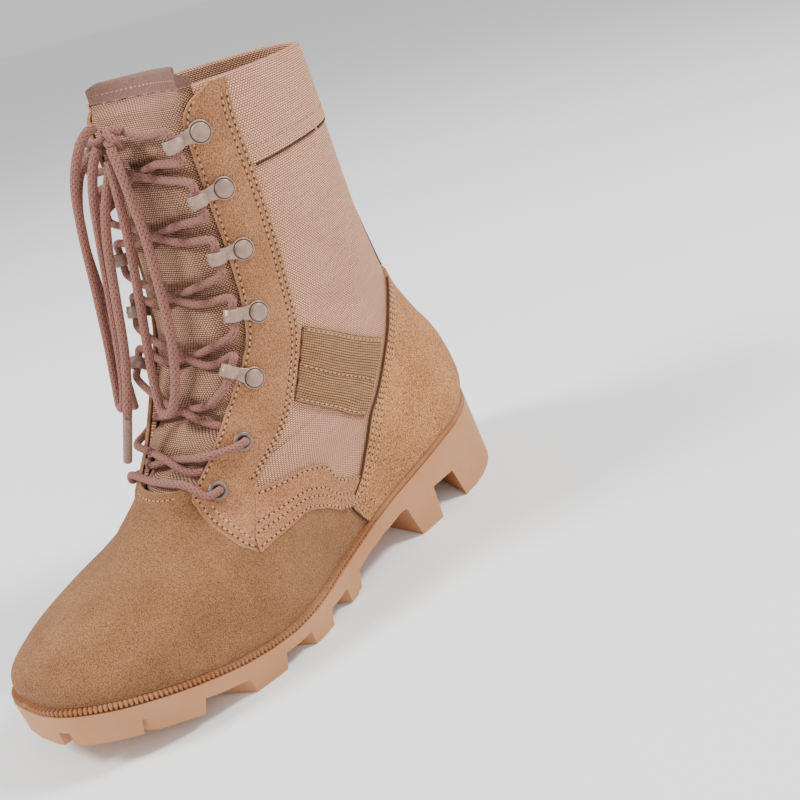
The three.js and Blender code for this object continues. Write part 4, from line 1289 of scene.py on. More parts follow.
        piece = new_object("vamp", grid(190, 96, shape), (SUEDE,))
        thicken(piece, 1.3)
        settle(piece)
        rows = Stitching("vamp_stitches", pitch=2.8, length=2.0, thick=0.65)
        rows.row(*LAST.at(VAMP.last - 0.012, np.linspace(-15, 15, 30), 0.9))
        rows.finish()

    def counter(self) -> None:
        """The heel counter, with three rows of stitches along its front edges and painted shade along them.
        """
        row_at = (2.6, 6.2, 10.2)

        def shape(u: Array, w: Array) -> Skin:
            """Round the heel, pressed in along its stitches."""
            v = COUNTER.last * w
            reach = COUNTER.read("reach", v)
            arc = reach * (2 * u - 1)
            place, out = LAST.at(v, arc, SIZES.gap + SIZES.overlay, back=True)
            inward = reach * (1 - np.abs(2 * u - 1))
            sewn = sum(0.3 * bump(inward - distance, 0.9) for distance in row_at)
            fold = 0.5 * bump(place[:, 2] - (70 + 0.25 * (place[:, 1] - 147)), 9) * smooth((inward - 20) / 30)
            return place - out * (sewn + fold * 0.6 + 0.25 * bump(arc, 1.4))[:, None], out

        piece = new_object("heel_counter_suede", grid(170, 72, shape), (COUNTER_SUEDE,))
        thicken(piece, 1.75, 0.45)
        settle(piece, "heel_counter")
        # Thin dark tubes along the front edges: painted shade where the counter's edge stands over the
        # canvas.
        v = np.linspace(0.012, COUNTER.last - 0.004, 120)
        reach = COUNTER.read("reach", v) + 0.35
        builder = bmesh.new()
        for side in Side:
            place, _ = LAST.at(v, side.value * reach, SIZES.gap + SIZES.overlay * 0.75, back=True)
            cord_tube(builder, resample(place, 1.0), 1.3)
        settle(new_object("counter_edge_shade", builder, (EDGE_SHADE,)))
        rows = Stitching("counter_stitches")
        v = np.linspace(0.03, COUNTER.last - 0.02, 90)
        for side in Side:
            for distance in row_at:
                arc = side.value * np.maximum(COUNTER.read("reach", v) - distance * 1.15, 2)
                rows.row(*LAST.at(v, arc, SIZES.gap + SIZES.overlay - 0.12, back=True))
        rows.finish()

    def backstay(self) -> None:
        """The webbing up the back seam, from the counter to the collar panel."""
        low, high, half = COUNTER.last + 0.006, 0.87, 9.0

        def shape(u: Array, w: Array) -> Skin:
            """A straight band up the back line."""
            return LAST.at(low + (high - low) * w, half * (2 * u - 1), 1.6, back=True)

        piece = new_object("backstay_webbing", grid(16, 90, shape), (BACK_WEBBING,))
        thicken(piece, 1.5, 0.3)
        settle(piece, "backstay")
        rows = Stitching("backstay_stitches", pitch=2.8, length=2.0, thick=0.6, hole=0.5)
        v = np.linspace(low + 0.01, high - 0.01, 60)
        for arc in (-7, 7):
            rows.row(*LAST.at(v, arc, 1.62, back=True))
        rows.finish()

    def facing(self, side: Side) -> None:
        """One suede facing, pierced for its eyelets, one row of stitches in front and two behind."""
        sign, outer = side.value, SIZES.seat + SIZES.overlay

        def edges(v: Array) -> tuple[Array, Array, Array]:
            """Arcs of the front and back edges, and the height off the skin."""
            low = v < 0.46
            front = np.where(low, FACING_TAB.read("front", v), FACING.read("front", v))
            back = np.where(low, FACING_TAB.read("back", v), FACING.read("back", v))
            return front, back, np.where(low, FACING_TAB.read("lift", v), outer)

        def shape(u: Array, w: Array) -> Skin:
            """The facing, pressed in along its stitches and raised round its hooks."""
            v = FACING_TAB.first + (1 - FACING_TAB.first) * w
            front, back, lift = edges(v)
            arc = front + (back - front) * u
            place, out = LAST.at(v, sign * arc, lift)
            rows_at = (arc - front - 1.9, back - arc - 1.5, back - arc - 4.1)
            sewn = sum(0.3 * bump(distance, 0.8) for distance in rows_at)
            rows = np.zeros_like(v)
            for hook in HOOKS:
                gap = np.hypot((v - hook.v) * SIZES.leg_height, arc - hook.arc)
                rows += 0.5 * bump(gap - 7, 2.5)
            return place - out * (sewn - 0.18 * rows)[:, None], out

        builder = grid(34, 260, shape)
        for eyelet in EYELETS:
            centre = Vector(facing_frame(eyelet, side).place * MM)
            gone = [f for f in builder.faces if (f.calc_center_median() - centre).length < 3.1 * MM]
            bmesh.ops.delete(builder, geom=gone, context="FACES")
        piece = new_object(f"facing_suede_{side.word}", builder, (FACING_SUEDE,))
        thicken(piece, SIZES.overlay, 0.35)
        settle(piece, f"facing_{side.word}")
        rows = Stitching(f"facing_stitches_{side.word}", pitch=3.0, length=2.0)
        for pick, distance, low, high in (
            (0, 1.9, 0.2, 0.975), (0, 4.6, 0.22, 0.42), (1, -1.5, 0.425, 0.975), (1, -4.1, 0.425, 0.975)
        ):
            v = np.linspace(low, high, 150)
            line = edges(v)
            slant = 1 + 0.35 * smooth((0.45 - v) / 0.02) if pick == 0 else 1
            rows.row(*LAST.at(v, sign * (line[pick] + distance * slant), line[2] - 0.1))
        rows.finish()

    def saddle(self, side: Side) -> None:
        """The arched suede band beside the vamp, with its raised binding and four rows of stitches."""
        sign, outer = side.value, SIZES.gap + SIZES.overlay * 0.8

        def at(u: Array, w: Array, lift: Array) -> Skin:
            """Points and outward directions between the lower and the upper border."""
            low_v, high_v = SADDLE.read("low_v", u), SADDLE.read("high_v", u)
            low_arc, high_arc = SADDLE.read("low_arc", u), SADDLE.read("high_arc", u)
            v, arc = low_v + (high_v - low_v) * w, low_arc + (high_arc - low_arc) * w
            return LAST.at(v, sign * arc, outer + lift)

        sewn = (0.07, 0.29, 0.47, 0.93)

        def shape(u: Array, w: Array) -> Skin:
            """The band, with its binding raised along the lower border."""
            trough = sum(0.3 * bump((w - row) * 40, 0.9) for row in sewn)
            raised = 0.55 * smooth((0.40 - w) / 0.04) * smooth(w / 0.02)
            return at(u, w, raised - trough)

        piece = new_object(f"saddle_suede_{side.word}", grid(70, 60, shape), (SADDLE_SUEDE,))
        thicken(piece, 1.6, 0.35)
        settle(piece, f"saddle_{side.word}")
        rows = Stitching(f"saddle_stitches_{side.word}", pitch=2.9, length=2.1)
        u = np.linspace(0.03, 0.99, 60)
        for w in sewn:
            rows.row(*at(u, w, 0.42 if w < 0.4 else -0.12))
        rows.finish()

    def ankle_band(self, side: Side) -> None:
        """The ribbed webbing over the ankle, stitched across its middle and round its edge."""
        sign, ribs = side.value, 26
        corners = ((0.628, 73), (0.52, 72.5), (0.462, 158), (0.305, 166))

        def at(u: Array, w: Array, lift: Array) -> Skin:
            """Points and outward directions between the four corners."""
            (v0, a0), (v1, a1), (v2, a2), (v3, a3) = corners
            v = (v1 * (1 - u) + v3 * u) * (1 - w) + (v0 * (1 - u) + v2 * u) * w
            arc = (a1 * (1 - u) + a3 * u) * (1 - w) + (a0 * (1 - u) + a2 * u) * w
            return LAST.at(v, sign * arc, 1.45 + lift)

        def shape(u: Array, w: Array) -> Skin:
            """The webbing, ribbed across and a little puffed between its stitches."""
            rib = 0.22 * np.abs(np.sin(np.pi * ribs * w))
            puff = 0.5 * np.sin(np.pi * u) * (np.sin(np.pi * w * 2.0) ** 2)
            return at(u, w, rib + puff - 0.4 * bump((w - 0.47) * 40, 1.2))

        piece = new_object(f"ankle_webbing_{side.word}", grid(70, ribs * 6, shape), (WEBBING,))
        thicken(piece, 1.4, 0.3)
        settle(piece, f"ankle_band_{side.word}")
        rows = Stitching(f"ankle_stitches_{side.word}", pitch=3.4, length=2.5, thick=0.7, hole=0.6)
        along = np.linspace(0.02, 0.98, 50)
        for w in (0.04, 0.47, 0.96):
            rows.row(*at(along, w, 0.15))
        rows.finish()


# ---- sole -----------------------------------------------------------------------------------------


@dataclass
class Sole:
    """The moulded outsole, the welt's toothed strip and the insole inside the boot."""

    tooth: float = 2.1
    tooth_depth: float = 1.9
    smooth_from_s: float = 118.0

    def build(self) -> None:
        """Builds the outsole, the welt and the insole."""
        self.outsole()
        self.welt()
        self.insole()

    def outsole(self) -> None:
        """The outsole: its blocks and walls with their flat faces merged and moulded edges rounded."""
        builder = bmesh.new()
        builder.from_mesh(bpy.data.objects["outsole"].data)
        bmesh.ops.remove_doubles(builder, verts=builder.verts, dist=5e-6)
        bmesh.ops.dissolve_limit(
            builder, angle_limit=math.radians(1.5), verts=builder.verts, edges=builder.edges
        )
        piece = new_object("outsole_rubber", builder, (RUBBER,))
        round_edges(piece, 0.8, 38, 3)
        piece.modifiers["Rounded edges"].harden_normals = True
        shade = piece.modifiers.new("Even shading", "WEIGHTED_NORMAL")
        shade.keep_sharp = True
        settle(piece, "outsole")

    def welt(self) -> None:
        """The strip round the top of the sole, with teeth round the front and a groove round the heel."""
        columns, high, edge_in = 1500, SIZES.welt_height, 0.3
        # distance round the outline, so that the teeth are even
        turn = np.linspace(0, 2 * np.pi, 1201)
        length = run_of(LAST.outline(turn, edge_in))
        profile = np.array(
            [
                (7.0, 0.1), (0.9, 0.1), (0.45, 0.35), (0.35, 0.8), (0.35, 1.3), (0.35, 1.8), (0.45, 2.3),
                (0.9, 2.55), (1.5, 2.6), (3.4, 2.62), (7.0, 2.6), (7.0, 0.1),
            ]
        )

        def shape(u: Array, w: Array) -> Skin:
            """The strip's section, with teeth cut into its outer edge."""
            step = w * (len(profile) - 1)
            inset = np.interp(step, np.arange(len(profile)), profile[:, 0])
            rise = np.interp(step, np.arange(len(profile)), profile[:, 1])
            angle = 2 * np.pi * u
            plan = LAST.outline(angle, edge_in)
            run = np.interp(angle, turn, length)
            front = smooth((plan[:, 1] - self.smooth_from_s) / 4)
            outside = smooth((2.2 - inset) / 1.2)
            wave = 0.5 - 0.5 * np.cos(2 * np.pi * run / self.tooth)
            tooth = self.tooth_depth * front * outside * wave ** 3
            tooth += 0.35 * (1 - front) * bump(rise - 1.3, 0.45) * outside
            edge = LAST.outline(angle, inset + tooth)
            drop = 1.3 * front * wave ** 3 * smooth((rise - 1.4) / 1.0) * smooth((3.4 - inset) / 1.6)
            place = LAST.place(edge[:, 0], edge[:, 1], SOLE_TOP.read("top", edge[:, 1]) - high + rise - drop)
            centre = LAST.outline(angle, 3.6)
            middle = LAST.place(centre[:, 0], centre[:, 1], SOLE_TOP.read("top", centre[:, 1]) - high / 2)
            return place, unit(place - middle)

        settle(new_object("welt_strip", grid(columns, len(profile) - 1, shape), (WELT_RUBBER,)), "welt")

    def insole(self) -> None:
        """The cloth-topped insole, its rim rounded over and its edge closed down to the sole."""
        inset = SIZES.welt_width + 2 * SIZES.gap

        def shape(u: Array, w: Array) -> Skin:
            """From the middle line out to the rim, and down its edge."""
            angle = 2 * np.pi * u
            share = np.clip(w / 0.85, 0, 1)
            rim, core = LAST.outline(angle, inset), LAST.outline(angle, 0.0)
            spine = np.stack([np.full(len(u), -1.0), np.clip(core[:, 1], 30, 262)], axis=1)
            plan = spine + (rim - spine) * share[:, None]
            top = SOLE_TOP.read("top", plan[:, 1]) - SIZES.welt_height + SIZES.insole
            down = np.where(w > 0.85, (w - 0.85) / 0.15 * (SIZES.insole - 0.4), 0)
            rolled = 0.5 * smooth((share - 0.93) / 0.07)
            up = np.tile((0.0, 0.0, 1.0), (len(u), 1))
            return LAST.place(plan[:, 0], plan[:, 1], top - down - rolled), up

        piece = new_object("insole_pad", grid(120, 40, shape), (FOAM,))
        settle(piece, "insole")


# ---- tongue ---------------------------------------------------------------------------------------

# How far back from the open front the middle of the tongue lies.
TONGUE = Table(
    ("v", "depth"),
    [
        (0.42, 0.6), (0.458, 1.6), (0.5, 6), (0.56, 11), (0.62, 12), (0.68, 8), (0.75, 3.4), (0.82, 1.4),
        (0.9, 2.6), (0.96, 11.5), (1.04, 24),
    ],
)


def tongue_reach(v: Array) -> Array:
    """Half the width of the opening that the tongue fills, along its levels."""
    return np.maximum(FACING.read("front", np.minimum(v, SIZES.corner_v)), SIZES.opening)


def tongue_half(v: Array) -> Array:
    """Half the tongue's width along its levels."""
    return tongue_reach(v) + SIZES.tuck


def tongue_point(v: Array, arc: Array, out: Array = 0.0) -> Array:
    """Points over the tongue's plain face, held off it by out; above v = 1 it rises straight on."""
    v, arc = (np.asarray(a, float).ravel() for a in np.broadcast_arrays(v, arc))
    from_middle = np.minimum(1, np.abs(arc) / (tongue_reach(v) + 3))
    place, _ = LAST.at(np.minimum(v, 1), arc, np.broadcast_to(out, v.shape) - SIZES.wall - 0.8)
    place[:, 1] += TONGUE.read("depth", v) * (1 - from_middle * from_middle)
    place[:, 2] += np.maximum(0, v - 1) * SIZES.leg_height
    return place


@dataclass
class Tongue:
    """The padded canvas tongue, pressed in under each lace, and the binding round its top."""

    low_v: float = 0.42
    puff: float = 3.4
    press: float = 1.0
    reach: float = 5.5
    ripple: float = 0.35

    def build(self, cords: Sequence[Array]) -> None:
        """Builds the tongue and its binding.

        Args:
            cords: Centre lines of the laces that lie across it.
        """
        self.pad(np.vstack([resample(line, 2.0) for line in cords]))
        self.binding()
        self.stitches()

    @staticmethod
    def face(u: Array, v: Array, out: float) -> Array:
        """Points from the tongue's inner edge (u = 0) to its outer one, held off its face by out."""
        return tongue_point(v, tongue_half(v) * (2 * u - 1), out)

    def pad(self, cords: Array) -> None:
        """The padded canvas, from under the vamp to the binding."""

        def shape(u: Array, w: Array) -> Skin:
            """The face, puffed between the laces and dented under them."""
            v = self.low_v + (1 - self.low_v) * w
            place, above = self.face(u, v, 0.0), self.face(u, v, 1.0)
            out = unit(above - place)
            gap = np.full(len(u), np.inf)
            for chunk in np.array_split(cords, 8):
                gap = np.minimum(gap, np.linalg.norm(place[:, None] - chunk[None], axis=2).min(1))
            clear = smooth((gap - 2.6) / self.reach)
            middle = smooth((1 - np.abs(2 * u - 1)) / 0.36)
            puff = self.puff * clear * middle * smooth((v - 0.45) / 0.05) * smooth((1.0 - v) / 0.03)
            dent = self.press * (1 - clear) * middle
            ripple = self.ripple * np.sin(17 * u + 31 * v) * np.sin(23 * v - 9 * u) * middle
            return place + out * (puff - dent + ripple)[:, None], out

        piece = new_object("tongue_canvas", grid(110, 170, shape), (TONGUE_CANVAS,))
        thicken(piece, 2.6, 0.6)
        settle(piece, "tongue")

    def binding(self) -> None:
        """The band folded over the top edge."""

        def band(u: Array, w: Array) -> Skin:
            """Up the front, over the edge and down the back."""
            fold = w * 2 - 1
            v = 1.0015 + 0.0385 * (1 - np.abs(fold)) ** 0.45
            corner = 0.02 * smooth((np.abs(2 * u - 1) - 0.66) / 0.34) ** 1.6
            v = np.maximum(v - corner * (1 - np.abs(fold)), 1.0)
            out = np.where(fold < 0, 0.55, -3.55) * smooth(np.abs(fold) * 5)
            rim = -1.5 - 2.05 * fold / 0.2
            out = np.where(np.abs(fold) < 0.2, rim, out)
            place = self.face(u, v, 0.0)
            normal = unit(self.face(u, v, 1.0) - place)
            lane = 0.3 * bump((np.abs(fold) - 0.22) * 10, 0.7)
            place = place + normal * (out - np.sign(-fold) * lane)[:, None]
            return place, normal * np.where(fold < 0, 1, -1)[:, None]

        piece = new_object("tongue_binding", grid(90, 44, band), (BINDING,))
        settle(piece, "tongue_trim")

    @staticmethod
    def stitches() -> None:
        """The row of stitches along the binding."""
        rows = Stitching("tongue_stitches", pitch=2.6, length=1.9, thick=0.6, hole=0.4)
        v, share = 1.017, np.linspace(-0.8, 0.8, 80)
        place = tongue_point(v, tongue_half(v) * share, 0.5)
        rows.row(place, unit(tongue_point(v, tongue_half(v) * share, 1.5) - place))
        rows.finish()


# ---- hardware -------------------------------------------------------------------------------------


@dataclass(frozen=True)
class Eyelet:
    """Where a rolled eyelet stands on a facing."""

    v: float
    arc: float


@dataclass(frozen=True)
class Hook:
    """Where a speed hook stands on a facing, and how far it is turned in degrees."""

    v: float
    arc: float
    twist: float


EYELETS = (Eyelet(0.441, 38.2), Eyelet(0.509, 43.8))
HOOKS = (
    Hook(0.598, 44.7, 42), Hook(0.691, 45.7, 20), Hook(0.784, 42.3, 8), Hook(0.857, 41.2, -2),
    Hook(0.921, 39.8, -6),
)


@dataclass
class Stand:
    """A frame on the boot's leather: a place, the way round to the front, upward and out of it."""

    place: Array
    along: Array
    up: Array
    out: Array

    def step(self, along: float = 0.0, up: float = 0.0, out: float = 0.0) -> Array:
        """The point moved by steps along the frame's ways."""
        return self.place + self.along * along + self.up * up + self.out * out


def facing_frame(spot: "Eyelet | Hook", side: Side) -> Stand:
    """The frame of a spot on the face of a facing."""
    out_by = SIZES.seat + SIZES.overlay
    arcs = side.value * np.array([spot.arc, spot.arc - 1])
    places, outs = LAST.at(np.full(2, spot.v), arcs, out_by)
    out = outs[0]
    along = places[1] - places[0]
    along = unit(along - out * along.dot(out))
    return Stand(places[0], along, np.cross(out, along) * -side.value, out)


def hook_frame(hook: Hook, side: Side) -> Stand:
    """The frame of a hook, turned by its twist, at the foot of its rivet."""
    flat = facing_frame(hook, side)
    turn = math.radians(hook.twist)
    along = flat.along * math.cos(turn) + flat.up * math.sin(turn)
    up = flat.up * math.cos(turn) - flat.along * math.sin(turn)
    return Stand(flat.place + flat.out * SIZES.gap, along, up, flat.out)


# A hook strap's section: shares of its half-width across, and millimetres through it, with a low rib
# along its outer face.
STRAP_SECTION = (
    (-1, -0.25), (-0.9, -0.5), (0.9, -0.5), (1, -0.25), (1, 0.25), (0.9, 0.5), (0.25, 0.5), (0.12, 0.78),
    (-0.12, 0.78), (-0.25, 0.5), (-0.9, 0.5), (-1, 0.25), (-1, -0.25),
)


@dataclass
class Hardware:
    """Painted eyelets and speed hooks."""

    loop_at: float = 12.6
    loop_lift: float = 3.4

    def build(self) -> None:
        """Builds two eyelets and five hooks on each side."""
        for side in Side:
            for i, eyelet in enumerate(EYELETS):
                self.eyelet(eyelet, side, f"eyelet_{side.word}_{i + 1}")
            for i, hook in enumerate(HOOKS):
                self.hook(hook, side, f"hook_{side.word}_{i + 1}")

    def eyelet(self, eyelet: Eyelet, side: Side, node: str) -> None:
        """One rolled eyelet: a flange turned over a short barrel."""
        stand = facing_frame(eyelet, side)
        turn = np.linspace(-0.15, math.pi, 12)
        roll = [(3.52 + 1.1 * math.cos(a), 0.55 + 0.95 * math.sin(a)) for a in turn]
        profile = [(4.45, 0.15), *roll, (2.4, -0.4), (2.4, -2.6)]
        builder = bmesh.new()
        lathe(profile, 48, placing(stand.place, stand.along, stand.out), builder)
        piece = new_object(f"rolled_{node}", builder, (EYELET_PAINT,))
        settle(piece, node)

    def hook(self, hook: Hook, side: Side, node: str) -> None:
        """One hook: a strap folded into a loop, with a rivet through its foot."""
        stand = hook_frame(hook, side)
        matrix = placing(stand.place, stand.along, stand.out)
        builder = self.strap()
        bmesh.ops.transform(builder, matrix=matrix, verts=builder.verts)
        self.rivet(builder, matrix)
        settle(new_object(f"folded_{node}", builder, (PAINT, RIVET_GROOVE_SHADE)), node)

    @staticmethod
    def strap() -> BMesh:
        """The strap along its own X axis: flat from the rivet, then bent over and back into a loop."""
        bend = [
            (13.55 + 2.95 * math.cos(a), 0, 3.45 + 2.95 * math.sin(a))
            for a in np.linspace(-math.pi / 2, 0.56 * math.pi, 22)
        ]
        foot = spline([(3, 0, 0.5), (6, 0, 0.5), (9, 0, 0.5), (11.5, 0, 0.5)], 0.8)[:-1]
        tail = spline([bend[-1], (11.4, 0, 6), (9.6, 0, 4.9), (8.5, 0, 3.6)], 0.6)[1:]
        path = np.vstack([foot, bend, tail])
        tangent = unit(np.gradient(path, axis=0))
        inward = np.stack([tangent[:, 2], np.zeros(len(path)), -tangent[:, 0]], axis=1)
        share = np.linspace(0, 1, len(path))
        wide = np.interp(path[:, 0], (3, 8, 14, 16.5), (3.6, 2.7, 2.9, 2.9))
        wide = np.where(share > 0.72, np.interp(share, (0.72, 0.86, 1), (2.9, 2.75, 2.2)), wide)
        section = np.array(STRAP_SECTION)

        def shape(u: Array, w: Array) -> Skin:
            """The strap's section, carried along its path."""
            i = np.rint(w * (len(path) - 1)).astype(int)
            y, z = section[np.rint(u * (len(section) - 1)).astype(int)].T
            offset = inward[i] * z[:, None]
            offset[:, 1] += y * wide[i]
            return path[i] + offset, unit(offset)

        return grid(len(section) - 1, len(path) - 1, shape, closed=True)

    @staticmethod
    def rivet(builder: BMesh, matrix: Matrix) -> None:
        """Adds the rivet's washer, its dome and a thin dark ring of painted shade in the groove between them.
        """
        washer = [(0.0, 0.95), (4.55, 0.95), (4.75, 0.9), (5.05, 0.75), (5.15, 0.5), (5.1, 0.05)]
        lathe(washer, 48, matrix, builder)
        rise = np.linspace(0.0, 1.0, 14)
        dome = [(4.15 * math.sin(a * math.pi / 2), 0.85 + 1.7 * (1 - a * a) ** 0.6) for a in rise]
        lathe([*dome, (4.15, 0.6)], 48, matrix, builder)
        # A thin dark ring in the groove between dome and washer: painted shade.
        count = len(builder.faces)
        lathe([(4.1, 1.0), (4.35, 1.12), (4.6, 1.0)], 48, matrix, builder)
        builder.faces.ensure_lookup_table()
        for face in builder.faces[count:]:
            face.material_index = 1


# ---- laces ----------------------------------------------------------------------------------------

# Centre lines (x, s, z) of the bow's loops and free ends, from where they leave the knot.
BOW = {
    "loop_outer": [
        (4.5, 171.6, 236), (8, 173, 223), (12, 175, 200), (14, 178, 175), (14.5, 182, 150), (12.5, 187, 130),
        (7.5, 190, 119.5), (1, 190, 119), (-3, 187, 128), (-4, 182.5, 148), (-2.5, 178.5, 172),
        (0, 175.5, 197), (1, 173.5, 218), (0, 171.6, 231),
    ],
    "loop_inner": [
        (-5, 171.4, 237), (-9, 174, 230), (-14, 176, 217), (-18, 178, 197), (-21, 181, 173),
        (-22.5, 185, 150), (-24, 189, 131), (-28, 191, 119.5), (-33, 189.5, 119), (-35.5, 186, 129),
        (-35.5, 182, 150), (-33.5, 179.5, 174), (-29, 178.5, 200), (-23, 177.5, 222), (-14.5, 175.5, 236.5),
        (-7, 173, 244), (-4, 170, 246),
    ],
    "end_outer": [
        (-3, 166.5, 232.3), (-4.5, 171, 224.5), (-7.5, 177, 210), (-9, 180.5, 197), (-10, 185, 175),
        (-11, 190, 150), (-12.5, 194.5, 133), (-15, 198.5, 119),
    ],
    "end_inner": [
        (-7.2, 167, 235.5), (-14, 169, 233.5), (-24, 171, 228), (-33, 172.5, 214), (-39, 173, 195),
        (-41, 173, 172), (-42, 174, 150), (-42.5, 175, 132),
    ],
}


def cord_tube(builder: BMesh, line: Array, diameter: float = SIZES.lace) -> None:
    """Adds a cord along a line, its skin lumpy with the braid.

    Args:
        builder: The mesh to add to.
        line: Closely spaced points of the centre line in millimetres.
        diameter: The cord's diameter.
    """
    tangent = unit(np.gradient(line, axis=0))
    side = np.zeros_like(line)
    side[0] = unit(np.cross(tangent[0], (0.0, 0.0, 1.0) if abs(tangent[0][2]) < 0.9 else (1.0, 0.0, 0.0)))
    for i in range(1, len(line)):
        side[i] = unit(side[i - 1] - tangent[i] * side[i - 1].dot(tangent[i]))
    other = np.cross(tangent, side)
    run = run_of(line)

    def shape(u: Array, w: Array) -> Skin:
        """A round section carried along the line."""
        i = np.rint(w * (len(line) - 1)).astype(int)
        turn, twist = 2 * np.pi * u, 2 * np.pi * run[i] / CORD.pitch
        lumps = 1 + 0.022 * np.sin(CORD.carriers * turn + twist) * np.sin(CORD.carriers * turn - twist)
        out = side[i] * np.cos(turn)[:, None] + other[i] * np.sin(turn)[:, None]
        return line[i] + out * (diameter / 2 * 0.965 * lumps)[:, None], out

    merge_in(builder, grid(24, len(line) - 1, shape, closed=True, girth=math.pi * SIZES.lace))


def over_tongue(v: float, arc: float, lift: float = 0.0) -> Array:
    """A place for a lace's centre line over the tongue."""
    base, above = tongue_point(v, arc)[0], tongue_point(v, arc, 1.0)[0]
    return base + unit(above - base) * (SIZES.lace / 2 + 0.7 + lift)


def over_facing(eyelet: Eyelet, back: float, side: Side, lift: float) -> Array:
    """A place for a lace's centre line over a facing, some way before an eyelet."""
    stand = facing_frame(Eyelet(eyelet.v, eyelet.arc - back), side)
    return stand.step(out=SIZES.lace / 2 + 0.7 + lift)


@dataclass
class Lacing:
    """One round lace through two pairs of eyelets and five pairs of hooks, tied in a bow at the top."""

    cross_lift: float = 3.4
    taut: float = 3.8
    step: float = 0.7
    hardware: Hardware = field(default_factory=Hardware)
    lines: dict[str, list[Array]] = field(default_factory=dict)

    def loop(self, hook: Hook, side: Side, up: float) -> Array:
        """A point beside the middle of a hook's loop."""
        return hook_frame(hook, side).step(self.hardware.loop_at, up, self.hardware.loop_lift)

    def through(self, eyelet: Eyelet, side: Side) -> list[Array]:
        """The way down through an eyelet to the inside of the boot."""
        stand = facing_frame(eyelet, side)
        return [stand.step(-0.6, 0, 2.6), stand.step(-0.2, 0, -0.5)]

    def plan(self) -> None:
        """Lays the centre line of every lace."""
        first, second = EYELETS
        ends = [
            [
                *self.through(first, side)[::-1],
                over_facing(first, 5.2, side, 0.3),
                over_tongue(0.475, side.value * 19, 6),
            ]
            for side in Side
        ]
        bar = [*ends[0], over_tongue(0.482, 0, 3.5), *ends[1][::-1]]
        self.lines["lace_bar"] = [spline(bar, self.step)]
        crosses: dict[int, list[Array]] = {n: [] for n in range(1, 7)}

        def cross(number: int, *points: Array) -> None:
            """Adds one strand of a crossing."""
            crosses[number].append(spline(points, self.step))

        for side in Side:
            sign = side.value
            far = Side(-sign)
            lift = self.cross_lift if side is Side.OUTER else 0.0
            cross(
                1,
                over_tongue(0.490, 25 * sign, -0.4),
                over_tongue(0.492, 20 * sign),
                over_tongue(0.499, 11 * sign, 0.4),
                over_tongue(0.51, 0, lift),
                over_tongue(0.513, -14 * sign, 3),
                over_tongue(0.512, -23 * sign, 7),
                over_facing(second, 6.2, far, 0.3),
                *self.through(second, far),
            )
            cross(
                2,
                over_tongue(0.546, 30 * sign, -0.4),
                over_tongue(0.55, 25 * sign),
                over_tongue(0.558, 14 * sign, 0.4),
                over_tongue(0.57, 0, lift),
                over_tongue(0.578, -17 * sign, 2.5),
                *(self.loop(HOOKS[0], far, up) for up in (-6.7, -3.7, 0.0)),
            )
            for number, (low, high) in enumerate(zip(HOOKS, HOOKS[1:]), start=3):
                middle = (low.v + high.v) / 2
                cross(
                    number,
                    *(self.loop(low, side, up) for up in (0.0, 3.7, 7.2)),
                    over_tongue(low.v + (middle - low.v) * 0.75, 15 * sign, 2),
                    over_tongue(middle, 0, lift),
                    over_tongue(high.v - (high.v - middle) * 0.75, -15 * sign, 2),
                    *(self.loop(high, far, up) for up in (-7.2, -3.7, 0.0)),
                )
            start = self.loop(HOOKS[-1], side, 3.7)
            turn = self.loop(HOOKS[-1], side, 5.9) - np.array((1.5 * sign, 0, 0))
            knot = LAST.place(4.8 * sign, 162.0, 240.5)
            points = [self.loop(HOOKS[-1], side, 0.0), start, turn, (start + knot) / 2 - (0, 0, 0.5), knot]
            self.lines[f"lace_top_{side.word}"] = [spline(points, self.step)]
        self.lines.update({f"lace_cross_{n}": pair for n, pair in crosses.items()})

    def build(self) -> None:
        """Builds the laces, the knot and the free loops and ends."""
        for node, lines in self.lines.items():
            builder = bmesh.new()
            for line in lines:
                cord_tube(builder, line, self.taut)
            settle(new_object(f"{node}_cord", builder, (CORD,)), node)
        self.knot()
        for side in Side:
            self.free_loop(side)
            self.free_end(side)

    def knot(self) -> None:
        """The knot: two cords wound round each other and drawn tight."""
        builder = bmesh.new()
        centre = LAST.place(0.0, 165.0, 239.0)
        wraps = (
            [
                (-4.6, 1.6, 2.2), (-2.2, -1.8, 3.4), (1.6, -2.4, 1.2), (3.6, -1.4, -2.2), (1.6, 0.8, -3.4),
                (-2.4, 1.2, -1.6),
            ],
            [
                (4.6, 1.6, 2.0), (2.6, 0.2, 3.6), (-1.4, -1.2, 3.0), (-3.8, -1.6, -0.6), (-1.8, -0.4, -3.4),
                (2.2, 1.4, -2.8),
            ],
            [(-3.6, -0.2, 0.4), (-1.6, -2.7, -1.4), (1.2, -2.6, -2.6), (3.8, -0.4, -0.6)],
        )
        for wrap in wraps:
            cord_tube(builder, spline([centre + np.array(p) for p in wrap], 0.6), 4.3)
        settle(new_object("lace_knot_cord", builder, (CORD,)), "lace_knot")

    def bow(self, name: str) -> Array:
        """The centre line of one of the bow's cords."""
        return spline([LAST.place(*p) for p in BOW[name]], 1.0)

    def free_loop(self, side: Side) -> None:
        """One of the bow's two loops, hanging from the knot."""
        self.hang(f"lace_loop_{side.word}", self.bow(f"loop_{side.word}"), "object")

    def free_end(self, side: Side) -> None:
        """One of the lace's two ends, with its tip."""
        line = self.bow(f"end_{side.word}")
        way = unit(line[-1] - line[-4])
        builder = bmesh.new()
        tip = [
            (0.0, 11.0), (1.5, 11.0), (1.95, 10.6), (2.1, 9.8), (2.2, -8.0), (2.15, -10.6), (1.7, -11.0),
            (0.0, -11.0),
        ]
        lathe(tip, 32, placing(line[-1] + way * 11.3, np.cross(way, (0.0, 1.0, 0.0)), way), builder)
        aglet = settle(new_object(f"aglet_{side.word}_tip", builder, (TIP,)), f"aglet_{side.word}")
        self.hang(f"lace_end_{side.word}", line, "fitting", aglet)

